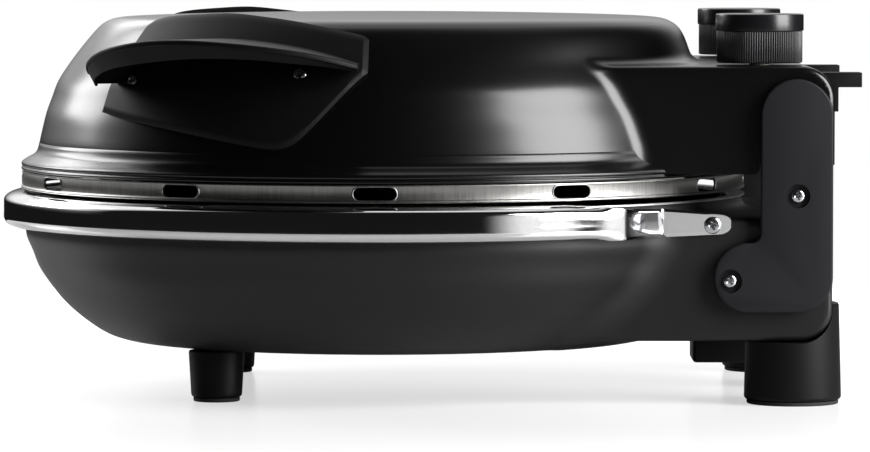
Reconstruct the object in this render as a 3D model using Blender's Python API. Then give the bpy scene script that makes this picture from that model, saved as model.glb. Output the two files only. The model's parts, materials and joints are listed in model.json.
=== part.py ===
"""Electric pizza oven: a round clamshell oven whose domed lid carries the controls.

The front is towards -X, the hinge and the controls are at +X, and Z is up. Left and right
are those of a cook who stands at the front: left is +Y and right is -Y. Inside this file the
oven's vertical axis is X = 0, and an empty puts it where the part's own origin needs it.
"""
import math

import bmesh
import bpy
from mathutils import Matrix, Vector

MM = 0.001
DEG = math.pi / 180
SIDES = (("left", 1), ("right", -1))

# Fits and cutters
CLEARANCE = 0.3 * MM
OVERRUN = 8 * MM
SHELL_WALL = 2.5 * MM
SHEET = 0.8 * MM

# Facets in a full turn, and in a quarter turn of an outline
ROUND_STEPS = 44
INNER_STEPS = 28
RING_STEPS = 32
FOOT_STEPS = 16
REAR_FOOT_STEPS = 24
CONTROL_STEPS = 16
SMALL_STEPS = 8
CORNER_STEPS = 3

# Points closer than this are one, and edges sharper than these are kept or rounded
MERGE = 0.001 * MM
SHARP_ANGLE = 32 * DEG
SOFTEN_ANGLE = 50 * DEG

# Base bowl
BOWL_RIM_R = 167.3 * MM
BOWL_FLARE = 43.7 * MM
BOWL_FLOOR_R = BOWL_RIM_R - BOWL_FLARE
BOWL_FLOOR_Z = 23.5 * MM
BOWL_DEPTH = 48.9 * MM
BOWL_RIM_Z = BOWL_FLOOR_Z + BOWL_DEPTH
BOWL_COLLAR = 18 * MM
BOWL_TOP_Z = BOWL_RIM_Z + BOWL_COLLAR
BOWL_WALL_SHARES = ((0.19, 0.08), (0.43, 0.23), (0.61, 0.38), (0.75, 0.54), (0.86, 0.69), (0.93, 0.85))

# Rear block of the base, and the lugs that take the upper hinge screws
BLOCK_BEHIND_RIM = 36.2 * MM
BLOCK_REAR_X = BOWL_RIM_R + BLOCK_BEHIND_RIM
BLOCK_LENGTH = 123.5 * MM
BLOCK_FRONT_X = BLOCK_REAR_X - BLOCK_LENGTH
BLOCK_HALF_W = 110.7 * MM
BLOCK_LIFT = 5.5 * MM
BLOCK_FLOOR_Z = BOWL_FLOOR_Z + BLOCK_LIFT
BLOCK_DROP = 6.4 * MM
BLOCK_TOP_Z = BOWL_TOP_Z - BLOCK_DROP
BLOCK_CORNER_R = 14.7 * MM
BLOCK_TOP_R = 4 * MM
BLOCK_EDGE_R = 2.5 * MM
LUG_LENGTH = 31 * MM
LUG_THICKNESS = 12 * MM
LUG_INSET = 0.4 * MM
LUG_RISE = 16 * MM
LUG_TOP_Z = BLOCK_TOP_Z + LUG_RISE
LUG_EDGE_R = 5 * MM

# The plane that the hinge plates and the ring's tabs lie on
PLATE_INNER_Y = BLOCK_HALF_W + CLEARANCE

# Polished clamp ring round the rim, with a flat tab on each side of the block
RING_PLAY = 0.7 * MM
RING_LIP_R = BOWL_RIM_R + RING_PLAY
RING_DEPTH = 9.7 * MM
RING_R = RING_LIP_R + RING_DEPTH
RING_WALL = 1.2 * MM
PAN_FLANGE_Z = BOWL_TOP_Z + CLEARANCE
RING_TOP_Z = PAN_FLANGE_Z + SHEET + CLEARANCE + RING_WALL
RING_HEAD_BEND = 4.7 * MM
RING_FACE_TOP_Z = RING_TOP_Z - RING_HEAD_BEND
RING_FOOT_LIFT = 0.6 * MM
RING_FOOT_Z = BOWL_RIM_Z + RING_FOOT_LIFT
RING_FOOT_BEND = 6.5 * MM
RING_FACE_FOOT_Z = RING_FOOT_Z + RING_FOOT_BEND
TAB_FLAT_SPARE = 0.89 * MM
TAB_FLAT_X = math.sqrt(RING_LIP_R ** 2 - PLATE_INNER_Y ** 2) + TAB_FLAT_SPARE
TAB_BEND_RUN = 16 * MM
RING_END_X = TAB_FLAT_X - TAB_BEND_RUN
TAB_LAP = 7 * MM
TAB_START_X = RING_END_X - TAB_LAP
TAB_SETBACK = 46 * MM
TAB_END_X = BLOCK_REAR_X - TAB_SETBACK
TAB_CHAMFER = 4 * MM
TAB_THICKNESS = 1.5 * MM
TAB_FOOT_INSET = 3 * MM
TAB_FOOT_Z = RING_FOOT_Z + TAB_FOOT_INSET
TAB_TOP_INSET = 0.1 * MM
TAB_TOP_Z = RING_FACE_TOP_Z - TAB_TOP_INSET
TAB_SINK = 0.7 * MM
TAB_BEND_SHARES = ((0.45, 0.5), (0.78, 0.88))

# Lower reflector pan, which hangs by its flange under the ring's lip
PAN_LAP = 1.5 * MM
PAN_FLANGE_R = RING_LIP_R + PAN_LAP
PAN_RIM_INSET = 5 * MM
PAN_RIM_R = BOWL_RIM_R - PAN_RIM_INSET
PAN_LEAN = 4.8 * MM
PAN_WALL_R = PAN_RIM_R - PAN_LEAN
PAN_LEDGE_W = 14.5 * MM
PAN_LEDGE_R = PAN_WALL_R - PAN_LEDGE_W
PAN_BEND = 5 * MM
PAN_FLOOR_R = PAN_LEDGE_R - PAN_BEND
PAN_LIFT = 24.5 * MM
PAN_FLOOR_Z = BOWL_FLOOR_Z + PAN_LIFT
PAN_STEP = 16.2 * MM
PAN_LEDGE_Z = PAN_FLOOR_Z + PAN_STEP

# Pizza stone
STONE_PLAY = 2.5 * MM
STONE_R = PAN_WALL_R - STONE_PLAY
STONE_FOOT_Z = PAN_LEDGE_Z + SHEET + CLEARANCE
STONE_THICKNESS = 12 * MM
STONE_EDGE = 1.5 * MM

# Lid: band, flange, shoulder, dome and crown
LID_GAP = 1 * MM
BAND_FOOT_Z = RING_TOP_Z + LID_GAP
BAND_RISE = 8.5 * MM
LID_OVERHANG = 2.1 * MM
FLANGE_R = BOWL_RIM_R + LID_OVERHANG
FLANGE_FOOT_Z = BAND_FOOT_Z + BAND_RISE
FLANGE_HEIGHT = 3.5 * MM
FLANGE_TOP_Z = FLANGE_FOOT_Z + FLANGE_HEIGHT
SHOULDER_W = 7.4 * MM
DOME_FOOT_R = FLANGE_R - SHOULDER_W
SHOULDER_RISE = 5 * MM
DOME_FOOT_Z = FLANGE_TOP_Z + SHOULDER_RISE
DOME_LEAN = 34 * MM
DOME_EDGE_R = DOME_FOOT_R - DOME_LEAN
DOME_HEIGHT = 61.6 * MM
DOME_EDGE_Z = DOME_FOOT_Z + DOME_HEIGHT
DOME_WALL_SHARES = (
    (0.03, 0.04), (0.07, 0.16), (0.13, 0.29), (0.21, 0.41), (0.29, 0.53),
    (0.43, 0.65), (0.59, 0.77), (0.77, 0.89), (0.88, 0.955),
)
CROWN_RISE = 3.2 * MM
CROWN_SHARES = ((0.95, 0.2), (0.55, 0.72))

# Slotted stainless band under the flange
BAND_INSET = 0.6 * MM
BAND_R = FLANGE_R - BAND_INSET
SLOT_LENGTH = 19 * MM
SLOT_HEIGHT = 5.5 * MM
SLOT_LIFT = 4.3 * MM
SLOT_Z = BAND_FOOT_Z + SLOT_LIFT
SLOT_FIRST = 27.3 * DEG
SLOT_PITCH = 31 * DEG
SLOTS_PER_SIDE = 5

# Upper reflector inside the dome
LINER_PLAY = 0.8 * MM
LINER_FLANGE_R = BAND_R - SHEET - LINER_PLAY
LINER_FLANGE_Z = FLANGE_FOOT_Z - CLEARANCE
LINER_FLANGE_W = 10.7 * MM
LINER_FOOT_R = LINER_FLANGE_R - LINER_FLANGE_W
LINER_LEAN = 4.5 * MM
LINER_WALL_TOP_R = LINER_FOOT_R - LINER_LEAN
LINER_WALL_RISE = 19.5 * MM
LINER_WALL_TOP_Z = FLANGE_FOOT_Z + LINER_WALL_RISE
LINER_COVE = 40 * MM
LINER_CEILING_R = LINER_WALL_TOP_R - LINER_COVE
LINER_COVE_RISE = 30 * MM
LINER_CEILING_Z = LINER_WALL_TOP_Z + LINER_COVE_RISE
LINER_CROWN_RISE = 1 * MM
LINER_BEND_SHARES = ((0.15, 0.47), (0.45, 0.83))

# Control box at the rear of the lid, as wide as the block below it
BOX_OVERHANG = 0.9 * MM
BOX_REAR_X = BLOCK_REAR_X + BOX_OVERHANG
BOX_LENGTH = 120.4 * MM
BOX_FRONT_X = BOX_REAR_X - BOX_LENGTH
BOX_HALF_W = BLOCK_HALF_W
BOX_LIFT = 6.1 * MM
BOX_FOOT_Z = FLANGE_FOOT_Z + BOX_LIFT
BOX_HEIGHT = 44.4 * MM
BOX_TOP_Z = BOX_FOOT_Z + BOX_HEIGHT
BOX_CORNER_R = 15 * MM
BOX_EDGE_R = 3 * MM
BOX_BOSS_R = 4 * MM
BOX_SCREW_SETBACK = 14.4 * MM
BOX_SCREW_X = BOX_REAR_X - BOX_SCREW_SETBACK
BOX_SCREW_INSET = 50.7 * MM
BOX_SCREW_Y = BOX_HALF_W - BOX_SCREW_INSET
BOX_COVER_THICKNESS = 2 * MM

# Heating elements: one tube each, an open circle with two legs to the rear
TUBE_R = 3.3 * MM
LEG_Y = 11 * MM
LEG_BEND_R = 8 * MM
LEG_PLAY = 0.9 * MM
LEG_HOLE_R = TUBE_R + LEG_PLAY
LOWER_LOOP_INSET = 33 * MM
LOWER_LOOP_R = PAN_FLOOR_R - LOWER_LOOP_INSET
LOWER_LOOP_LIFT = 8 * MM
LOWER_LOOP_Z = PAN_FLOOR_Z + LOWER_LOOP_LIFT
LOWER_LEG_SETBACK = 37.5 * MM
LOWER_LEG_END_X = BLOCK_REAR_X - LOWER_LEG_SETBACK
UPPER_LOOP_INSET = 4 * MM
UPPER_LOOP_R = LINER_CEILING_R - UPPER_LOOP_INSET
UPPER_LOOP_DROP = 12 * MM
UPPER_LOOP_Z = LINER_CEILING_Z - UPPER_LOOP_DROP
UPPER_LEG_SETBACK = 36.4 * MM
UPPER_LEG_END_X = BOX_REAR_X - UPPER_LEG_SETBACK
LOOP_STEPS = 20
EYE_TAB_W = 11 * MM
EYE_TAB_THICKNESS = 1.6 * MM
EYE_TAB_BEYOND = 3 * MM
EYE_PLAY = 0.6 * MM
EYE_R = TUBE_R + EYE_PLAY
EYE_TAB_ANGLES = (60 * DEG, 180 * DEG, 300 * DEG)

# Lid hinge: the axis lies across the oven
HINGE_SETBACK = 16.5 * MM
HINGE_X = BLOCK_REAR_X - HINGE_SETBACK
HINGE_DROP = 22 * MM
HINGE_Z = BOX_TOP_Z - HINGE_DROP
PIN_R = 4 * MM
PIN_SHOULDER = 3 * MM
PIN_COLLAR_R = PIN_R + PIN_SHOULDER
PIN_COLLAR_LENGTH = 2.5 * MM
PIN_TAIL = 4 * MM
PIN_HOLE_SPARE = 0.4 * MM
PIN_IN_PLATE = 3 * MM

# Hinge side plates: an upright with a forward lobe
PLATE_THICKNESS = 6 * MM
PLATE_HALF_W = HINGE_SETBACK - CLEARANCE
PLATE_LIFT = 13.3 * MM
PLATE_FOOT_Z = BLOCK_FLOOR_Z + PLATE_LIFT
PLATE_HEEL_R = 16 * MM
LOBE_REACH = 21.5 * MM
LOBE_X = HINGE_X - LOBE_REACH
LOBE_R = 15.7 * MM
LOBE_CORNER_R = 4.5 * MM
PLATE_EDGE_R = 0.9 * MM
UPPER_SCREW_BEHIND = 0.5 * MM
UPPER_SCREW_BELOW = 36.2 * MM
LOWER_SCREW_AHEAD = 8.5 * MM
LOWER_SCREW_LIFT = 14.3 * MM
PLATE_SCREWS = (
    (HINGE_X + UPPER_SCREW_BEHIND, HINGE_Z - UPPER_SCREW_BELOW),
    (LOBE_X - LOWER_SCREW_AHEAD, PLATE_FOOT_Z + LOWER_SCREW_LIFT),
)
PLATE_SCREW_NAMES = ("upper", "lower")
PLATE_RECESS_R = 5.4 * MM
PLATE_RECESS_DEPTH = 2.4 * MM

# Screws: shank radius, head radius, head height and shank length
SHANK_R = 1.7 * MM
HEAD_R = 3.3 * MM
HEAD_HEIGHT = 1.8 * MM
HEAD_EDGE = 0.6 * MM
PLATE_SCREW_LENGTH = 8 * MM
RING_SCREW_LENGTH = 5 * MM
RING_SCREW_HEAD_R = 4.2 * MM
RING_SCREW_FROM_END = 8.3 * MM
RING_SCREW_X = TAB_END_X - RING_SCREW_FROM_END
RING_SCREW_LIFT = 5.6 * MM
RING_SCREW_Z = TAB_FOOT_Z + RING_SCREW_LIFT
HANDLE_SCREW_LENGTH = 8 * MM
HANDLE_SEAT_DEPTH = 1 * MM
COVER_SCREW_LENGTH = 7 * MM

# Handles: a curved plate on the dome's side with a projecting brim. Angles run from the front.
HANDLE_FROM = 37.5 * DEG
HANDLE_TO = 88 * DEG
HANDLE_LIFT = 6 * MM
HANDLE_FOOT_Z = DOME_FOOT_Z + HANDLE_LIFT
HANDLE_PROUD = 4.2 * MM
HANDLE_TOP_Z = DOME_EDGE_Z + HANDLE_PROUD
HANDLE_STAND_OFF = 0.7 * MM
HANDLE_THICKNESS = 3.3 * MM
HANDLE_LEAN_DROP = 4.1 * MM
HANDLE_LEAN_FROM_Z = DOME_EDGE_Z - HANDLE_LEAN_DROP
HANDLE_LEAN_SHARE = 0.95
HANDLE_COLUMNS = 9
HANDLE_ROWS = 7
HANDLE_FOOT_SHARES = ((0, 0.25), (0.33, 0.136), (0.56, 0.051), (0.73, 0), (0.82, 0.12), (1, 0.53))
HANDLE_TOP_SHARES = (
    (0, 0.82), (0.08, 0.93), (0.25, 0.985), (0.42, 1), (0.74, 0.935), (0.96, 0.85), (1, 0.79),
)
BRIM_FROM = 40 * DEG
BRIM_TO = 86.5 * DEG
BRIM_OVERHANG = 13.6 * MM
BRIM_R = FLANGE_R + BRIM_OVERHANG
BRIM_SETBACK = 29 * MM
BRIM_INNER_R = BRIM_R - BRIM_SETBACK
BRIM_DROP = 4.6 * MM
BRIM_CROWN_Z = DOME_EDGE_Z - BRIM_DROP
BRIM_ARCH = 16 * MM
BRIM_FOOT_Z = BRIM_CROWN_Z - BRIM_ARCH
BRIM_THICKNESS = 2.2 * MM
BRIM_LIP_HEIGHT = 8.5 * MM
BRIM_COLUMNS = 12
BRIM_REACH_SHARES = (
    (0, 0.62), (0.02, 0.72), (0.05, 0.8), (0.11, 0.9), (0.22, 0.99), (0.35, 1), (0.5, 0.99),
    (0.65, 0.92), (0.78, 0.78), (0.9, 0.53), (1, 0.25),
)
BRIM_RISE_SHARES = (
    (0, 0), (0.02, 0.15), (0.05, 0.32), (0.11, 0.52), (0.22, 0.86), (0.35, 0.98), (0.48, 1),
    (0.65, 0.88), (0.78, 0.72), (0.9, 0.5), (1, 0.25),
)
FRONT_SCREW_TURN = 3.5 * DEG
FRONT_SCREW_BELOW = 6 * MM
REAR_SCREW_TURN = 10 * DEG
REAR_SCREW_BELOW = 2 * MM
HANDLE_SCREWS = (
    (BRIM_FROM + FRONT_SCREW_TURN, BRIM_FOOT_Z - FRONT_SCREW_BELOW),
    (BRIM_TO - REAR_SCREW_TURN, BRIM_FOOT_Z - REAR_SCREW_BELOW),
)
HANDLE_SCREW_NAMES = ("front", "rear")

# Knobs with their controls below
KNOB_SETBACK = 32.7 * MM
KNOB_X = BOX_REAR_X - KNOB_SETBACK
KNOB_INSET = 25.7 * MM
KNOB_Y = BOX_HALF_W - KNOB_INSET
KNOB_R = 20 * MM
KNOB_LIP = 0.7 * MM
KNOB_GRIP_R = KNOB_R - KNOB_LIP
KNOB_NECK_INSET = 3.3 * MM
KNOB_NECK_R = KNOB_GRIP_R - KNOB_NECK_INSET
KNOB_LIFT = 1.5 * MM
KNOB_FOOT_Z = BOX_TOP_Z + KNOB_LIFT
KNOB_NECK_HEIGHT = 2.5 * MM
KNOB_GRIP_Z = KNOB_FOOT_Z + KNOB_NECK_HEIGHT
KNOB_GRIP_HEIGHT = 12 * MM
KNOB_CAP_Z = KNOB_GRIP_Z + KNOB_GRIP_HEIGHT
KNOB_CAP_HEIGHT = 7.3 * MM
KNOB_TOP_Z = KNOB_CAP_Z + KNOB_CAP_HEIGHT
KNOB_CAP_EDGE = 1.6 * MM
KNOB_STEPS = 22
SHAFT_R = 3 * MM
SHAFT_TOP_Z = KNOB_CAP_Z
KNOB_BORE_PLAY = 0.4 * MM
KNOB_BORE_R = SHAFT_R + KNOB_BORE_PLAY
BUSH_WALL = 1.6 * MM
BUSH_R = SHAFT_R + BUSH_WALL
BUSH_HEIGHT = 4 * MM
BUSH_TOP_Z = BOX_TOP_Z + BUSH_HEIGHT
BUSH_PLAY = 2.9 * MM
KNOB_COUNTERBORE_R = BUSH_R + BUSH_PLAY
BUSH_HEADROOM = 1.5 * MM
KNOB_COUNTERBORE_Z = BUSH_TOP_Z + BUSH_HEADROOM
POINTER_LENGTH = 13 * MM
POINTER_WIDTH = 1.6 * MM
POINTER_DEPTH = 0.7 * MM
CONTROL_R = 15 * MM
CONTROL_HEIGHT = 24 * MM
CONTROL_NECK_R = 11 * MM
CONTROL_NECK_HEIGHT = 5 * MM

# Pilot lamp lenses on the control box
LENS_R = 4 * MM
LENS_LIP = 1 * MM
LENS_FLANGE_R = LENS_R + LENS_LIP
LENS_RISE = 1.6 * MM
LENS_DEPTH = 7 * MM
LENS_Y = 22 * MM

# Cord wrap hooks on the back of the control box
HOOK_REACH = 14.6 * MM
HOOK_TIP_X = BOX_REAR_X + HOOK_REACH
HOOK_LEG_THICKNESS = 3.6 * MM
HOOK_INSET = 40.7 * MM
HOOK_Y = BOX_HALF_W - HOOK_INSET
HOOK_HALF_W = 7 * MM
HOOK_DROP = 3.7 * MM
HOOK_TOP_Z = BOX_TOP_Z - HOOK_DROP
HOOK_PEG_HEIGHT = 6.7 * MM
HOOK_PEG_Z = HOOK_TOP_Z - HOOK_PEG_HEIGHT
HOOK_LEG_HEIGHT = 11.1 * MM
HOOK_FOOT_Z = HOOK_PEG_Z - HOOK_LEG_HEIGHT

# Feet and pads
FRONT_FOOT_SETBACK = 48.6 * MM
FRONT_FOOT_X = FRONT_FOOT_SETBACK - BOWL_FLOOR_R
FRONT_FOOT_INSET = 39.6 * MM
FRONT_FOOT_Y = BOWL_FLOOR_R - FRONT_FOOT_INSET
FRONT_FOOT_R = 12.75 * MM
FRONT_FOOT_TAPER = 1.15 * MM
FRONT_FOOT_TIP_R = FRONT_FOOT_R - FRONT_FOOT_TAPER
REAR_FOOT_SETBACK = 17 * MM
REAR_FOOT_X = BLOCK_REAR_X - REAR_FOOT_SETBACK
REAR_FOOT_INSET = 15.7 * MM
REAR_FOOT_Y = BLOCK_HALF_W - REAR_FOOT_INSET
REAR_FOOT_R = 22 * MM
REAR_FOOT_TAPER = 1.1 * MM
REAR_FOOT_TOP_R = REAR_FOOT_R - REAR_FOOT_TAPER
REAR_FOOT_WRAP = 16.9 * MM
REAR_FOOT_TOP_Z = BLOCK_FLOOR_Z + REAR_FOOT_WRAP
FOOT_EDGE = 1.4 * MM
FOOT_Z = 2 * MM
PAD_INSET = 3.5 * MM
PAD_EDGE = 0.5 * MM

# Terminal box under the rear block, its terminal block, the gland and the cut-out
TERMINAL_SETBACK = 5.5 * MM
TERMINAL_REAR_X = BLOCK_REAR_X - TERMINAL_SETBACK
TERMINAL_LENGTH = 53 * MM
TERMINAL_FRONT_X = TERMINAL_REAR_X - TERMINAL_LENGTH
TERMINAL_HALF_W = 16 * MM
TERMINAL_DEPTH = 17 * MM
TERMINAL_FOOT_Z = BLOCK_FLOOR_Z - TERMINAL_DEPTH
TERMINAL_WALL = 2 * MM
TERMINAL_EDGE_R = 1.5 * MM
TERMINAL_EAR_REACH = 10 * MM
TERMINAL_EAR_HALF_L = 7 * MM
TERMINAL_EAR_BEHIND = 11 * MM
TERMINAL_EAR_X = TERMINAL_FRONT_X + TERMINAL_EAR_BEHIND
TERMINAL_BLOCK_BEHIND = 17 * MM
TERMINAL_BLOCK_LENGTH = 20 * MM
TERMINAL_BLOCK_FRONT_X = TERMINAL_FRONT_X + TERMINAL_BLOCK_BEHIND
TERMINAL_BLOCK_HALF_W = 9 * MM
TERMINAL_BLOCK_HEIGHT = 9 * MM
TERMINAL_BLOCK_EDGE = 1 * MM
WIRE_HOLE_R = 8 * MM
WIRE_HOLE_X = TERMINAL_BLOCK_FRONT_X + TERMINAL_BLOCK_LENGTH / 2
GLAND_R = 5.5 * MM
GLAND_STEP = 0.9 * MM
GLAND_NOSE_R = GLAND_R - GLAND_STEP
GLAND_WALL = 1.4 * MM
GLAND_BORE_R = GLAND_NOSE_R - GLAND_WALL
GLAND_REACH = 9 * MM
GLAND_LIP = 1.1 * MM
GLAND_FLANGE_R = GLAND_R + GLAND_LIP
GLAND_FLANGE_THICKNESS = 1.6 * MM
GLAND_INSIDE = 6 * MM
GLAND_LIFT = 8 * MM
GLAND_Z = TERMINAL_FOOT_Z + GLAND_LIFT
CUTOUT_X = 60 * MM
CUTOUT_R = 8 * MM
CUTOUT_LIP = 2 * MM
CUTOUT_CAP_R = CUTOUT_R - CUTOUT_LIP
CUTOUT_HEIGHT = 9 * MM
CUTOUT_FLANGE = 2 * MM

# The part's origin is under the middle of its length
OVEN_X = (RING_R - HOOK_TIP_X) / 2

# The gap that the pieces under the block keep to it
BLOCK_UNDER_Z = BLOCK_FLOOR_Z - CLEARANCE


def clear_scene():
    """Remove every object that the file opened with."""
    for old in list(bpy.data.objects):
        bpy.data.objects.remove(old, do_unlink=True)


def finish(name, colour, roughness, metallic=0.0):
    """Make a Principled material."""
    made = bpy.data.materials.new(name)
    made.use_nodes = True
    shader = made.node_tree.nodes["Principled BSDF"]
    shader.inputs["Base Color"].default_value = (*colour, 1)
    shader.inputs["Roughness"].default_value = roughness
    shader.inputs["Metallic"].default_value = metallic
    return made


def group(name, place, parent=None):
    """Make an empty that carries a body's pieces. The place is measured from the oven's axis."""
    empty = bpy.data.objects.new(name, None)
    bpy.context.scene.collection.objects.link(empty)
    empty.parent = parent
    empty["place"] = place
    empty.location = Vector(place) - Vector(parent["place"] if parent else (0, 0, 0))
    return empty


def settle(bm, name, look, carrier):
    """Turn a bmesh into an object of the given group, with its origin on the group's axis."""
    bmesh.ops.recalc_face_normals(bm, faces=bm.faces)
    bmesh.ops.translate(bm, verts=bm.verts, vec=-Vector(carrier["place"]))
    mesh = bpy.data.meshes.new(name)
    bm.to_mesh(mesh)
    bm.free()
    mesh.shade_smooth()
    mesh.set_sharp_from_angle(angle=SHARP_ANGLE)
    if look:
        mesh.materials.append(look)
    made = bpy.data.objects.new(name, mesh)
    bpy.context.scene.collection.objects.link(made)
    made.parent = carrier
    return made


def tool(bm, name, carrier):
    """Turn a bmesh into a shape that only cuts or joins other objects."""
    made = settle(bm, name, None, carrier)
    made.hide_render = True
    made.display_type = "WIRE"
    return made


def combine(target, other, operation):
    """Add a Boolean modifier to an object."""
    step = target.modifiers.new(operation.lower(), "BOOLEAN")
    step.operation = operation
    step.object = other


def soften(target, width, segments=2):
    """Round an object's square edges with a Bevel modifier."""
    step = target.modifiers.new("edges", "BEVEL")
    step.width = width
    step.segments = segments
    step.limit_method = "ANGLE"
    step.angle_limit = SOFTEN_ANGLE


def between(low, high, share):
    """The value at a share of the way from low to high."""
    return low + (high - low) * share


def read_shares(table, share):
    """Read a table of (share, value) pairs at any share, along straight runs."""
    for (left, left_value), (right, right_value) in zip(table, table[1:]):
        if share <= right:
            return between(left_value, right_value, (share - left) / (right - left))
    return table[-1][1]


def polar(radius, angle):
    """A plan point at an angle that is counted from the front towards the right side."""
    return Vector((-radius * math.cos(angle), -radius * math.sin(angle)))


def arc(centre_u, centre_v, radius, start, end, steps=CORNER_STEPS):
    """Points of an arc, its ends included."""
    angles = [between(start, end, step / steps) for step in range(steps + 1)]
    return [(centre_u + radius * math.cos(a), centre_v + radius * math.sin(a)) for a in angles]


def rounded(corners):
    """An outline whose corners, given as (u, v, radius), are rounded."""
    outline = []
    for index, (u, v, radius) in enumerate(corners):
        here = Vector((u, v))
        if radius <= 0:
            outline.append((u, v))
            continue
        before = Vector(corners[index - 1][:2]) - here
        after = Vector(corners[(index + 1) % len(corners)][:2]) - here
        before.normalize()
        after.normalize()
        half = before.angle(after) / 2
        centre = here + (before + after).normalized() * (radius / math.sin(half))
        first = here + before * (radius / math.tan(half)) - centre
        last = here + after * (radius / math.tan(half)) - centre
        turn = first.angle_signed(last)
        start = math.atan2(first.y, first.x)
        outline += arc(centre.x, centre.y, radius, start, start - turn)
    return outline


def offset_left(path, distance):
    """An open path moved sideways, to the left of its direction."""
    points = [Vector(p) for p in path]
    runs = [(b - a).normalized() for a, b in zip(points, points[1:])]
    lefts = [Vector((-run.y, run.x)) for run in runs]
    moved = [points[0] + lefts[0] * distance]
    for here, one, two in zip(points[1:], lefts, lefts[1:]):
        mid = (one + two).normalized()
        moved.append(here + mid * (distance / mid.dot(one)))
    moved.append(points[-1] + lefts[-1] * distance)
    return [tuple(p) for p in moved]


def sheet(path, wall):
    """The closed section of a wall that lies to the left of an open path."""
    return list(path) + offset_left(path, wall)[::-1]


def turned(section, steps, angle=2 * math.pi, start=0.0):
    """Spin a section of (radius, height) points round the Z axis."""
    bm = bmesh.new()
    frame = Matrix.Rotation(start, 3, "Z")
    ring = [bm.verts.new(frame @ Vector((r, 0, z))) for r, z in section]
    on_axis = section[0][0] == 0 and section[-1][0] == 0
    whole = angle >= 2 * math.pi
    if whole:
        pairs = list(zip(ring, ring[1:])) + ([] if on_axis else [(ring[-1], ring[0])])
        geometry = ring + [bm.edges.new(pair) for pair in pairs]
    else:
        face = bm.faces.new(ring)
        geometry = ring + list(face.edges) + [face]
    bmesh.ops.spin(bm, geom=geometry, cent=(0, 0, 0), axis=(0, 0, 1), angle=angle, steps=steps,
                   use_merge=whole)
    bmesh.ops.remove_doubles(bm, verts=bm.verts, dist=MERGE)
    return bm


def moved(bm, place, direction=(0, 0, 1)):
    """Point a shape's Z axis in a direction and put its origin at a place."""
    turn = Vector(direction).to_track_quat("Z", "Y").to_matrix().to_4x4()
    bmesh.ops.transform(bm, matrix=Matrix.Translation(Vector(place)) @ turn, verts=bm.verts)
    return bm


def rod(radius, length, place, direction=(0, 0, 1), steps=SMALL_STEPS):
    """A round bar that starts at a place and runs in a direction."""
    return moved(turned([(0, 0), (radius, 0), (radius, length), (0, length)], steps), place, direction)


def extruded(outline, low, high, across="Y"):
    """Extrude an outline: one in (x, z) across Y, or one in (x, y) up Z."""
    bm = bmesh.new()
    if across == "Y":
        verts = [bm.verts.new((u, low, v)) for u, v in outline]
        run = Vector((0, high - low, 0))
    else:
        verts = [bm.verts.new((u, v, low)) for u, v in outline]
        run = Vector((0, 0, high - low))
    face = bm.faces.new(verts)
    far = bmesh.ops.extrude_face_region(bm, geom=[face])
    far_verts = [g for g in far["geom"] if isinstance(g, bmesh.types.BMVert)]
    bmesh.ops.translate(bm, verts=far_verts, vec=run)
    return bm


def block(low, high):
    """A box between two corners."""
    outline = [(low[0], low[1]), (high[0], low[1]), (high[0], high[1]), (low[0], high[1])]
    return extruded(outline, low[2], high[2], "Z")


def swept(sections):
    """Skin a run of equal sections, each a loop of points in space, and cap its ends."""
    bm = bmesh.new()
    loops = [[bm.verts.new(p) for p in section] for section in sections]
    for one, two in zip(loops, loops[1:]):
        for index in range(len(one)):
            bm.faces.new((one[index - 1], one[index], two[index], two[index - 1]))
    bm.faces.new(loops[0][::-1])
    bm.faces.new(loops[-1])
    bm.normal_update()
    bmesh.ops.triangulate(bm, faces=bm.faces)
    return bm


def mirrored(bm, side):
    """Put a shape that was made on the right side on its own side."""
    if side > 0:
        bmesh.ops.scale(bm, vec=(1, -1, 1), verts=bm.verts)
    return bm


def screw(name, place, direction, length, look, carrier, head_r=HEAD_R):
    """A pan head screw. Its seat, the underside of its head, is at the place."""
    section = [
        (0, -length), (SHANK_R, -length), (SHANK_R, 0), (head_r, 0), (head_r, HEAD_HEIGHT - HEAD_EDGE),
        (head_r - HEAD_EDGE, HEAD_HEIGHT), (0, HEAD_HEIGHT),
    ]
    return settle(moved(turned(section, SMALL_STEPS), place, direction), name, look, carrier)


def screw_hole(target, place, direction, length, carrier, recess_r=SHANK_R + CLEARANCE):
    """Cut a clearance hole for a screw whose seat is at the place, with a recess outside the seat."""
    hole_r = SHANK_R + CLEARANCE
    foot = -length - CLEARANCE
    section = [(0, foot), (hole_r, foot), (hole_r, 0), (recess_r, 0), (recess_r, OVERRUN), (0, OVERRUN)]
    if recess_r == hole_r:
        section = [(0, foot), (hole_r, foot), (hole_r, HEAD_HEIGHT), (0, HEAD_HEIGHT)]
    hole = moved(turned(section, SMALL_STEPS), place, direction)
    combine(target, tool(hole, target.name + "_screw_hole", carrier), "DIFFERENCE")


def bowl_path():
    """The outside of the bowl from its middle to its rim."""
    wall = [
        (between(BOWL_FLOOR_R, BOWL_RIM_R, r), between(BOWL_FLOOR_Z, BOWL_RIM_Z, z))
        for r, z in BOWL_WALL_SHARES
    ]
    return [(0, BOWL_FLOOR_Z), (BOWL_FLOOR_R, BOWL_FLOOR_Z), *wall,
            (BOWL_RIM_R, BOWL_RIM_Z), (BOWL_RIM_R, BOWL_TOP_Z)]


def block_outline(grow=0.0):
    """The rear block seen from the side."""
    rear = BLOCK_REAR_X + grow
    floor = BLOCK_FLOOR_Z - grow
    top = BLOCK_TOP_Z + grow
    return rounded([
        (BLOCK_FRONT_X, floor, 0), (rear, floor, BLOCK_CORNER_R + grow),
        (rear, top, BLOCK_TOP_R + grow), (BLOCK_FRONT_X, top, 0),
    ])


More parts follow.
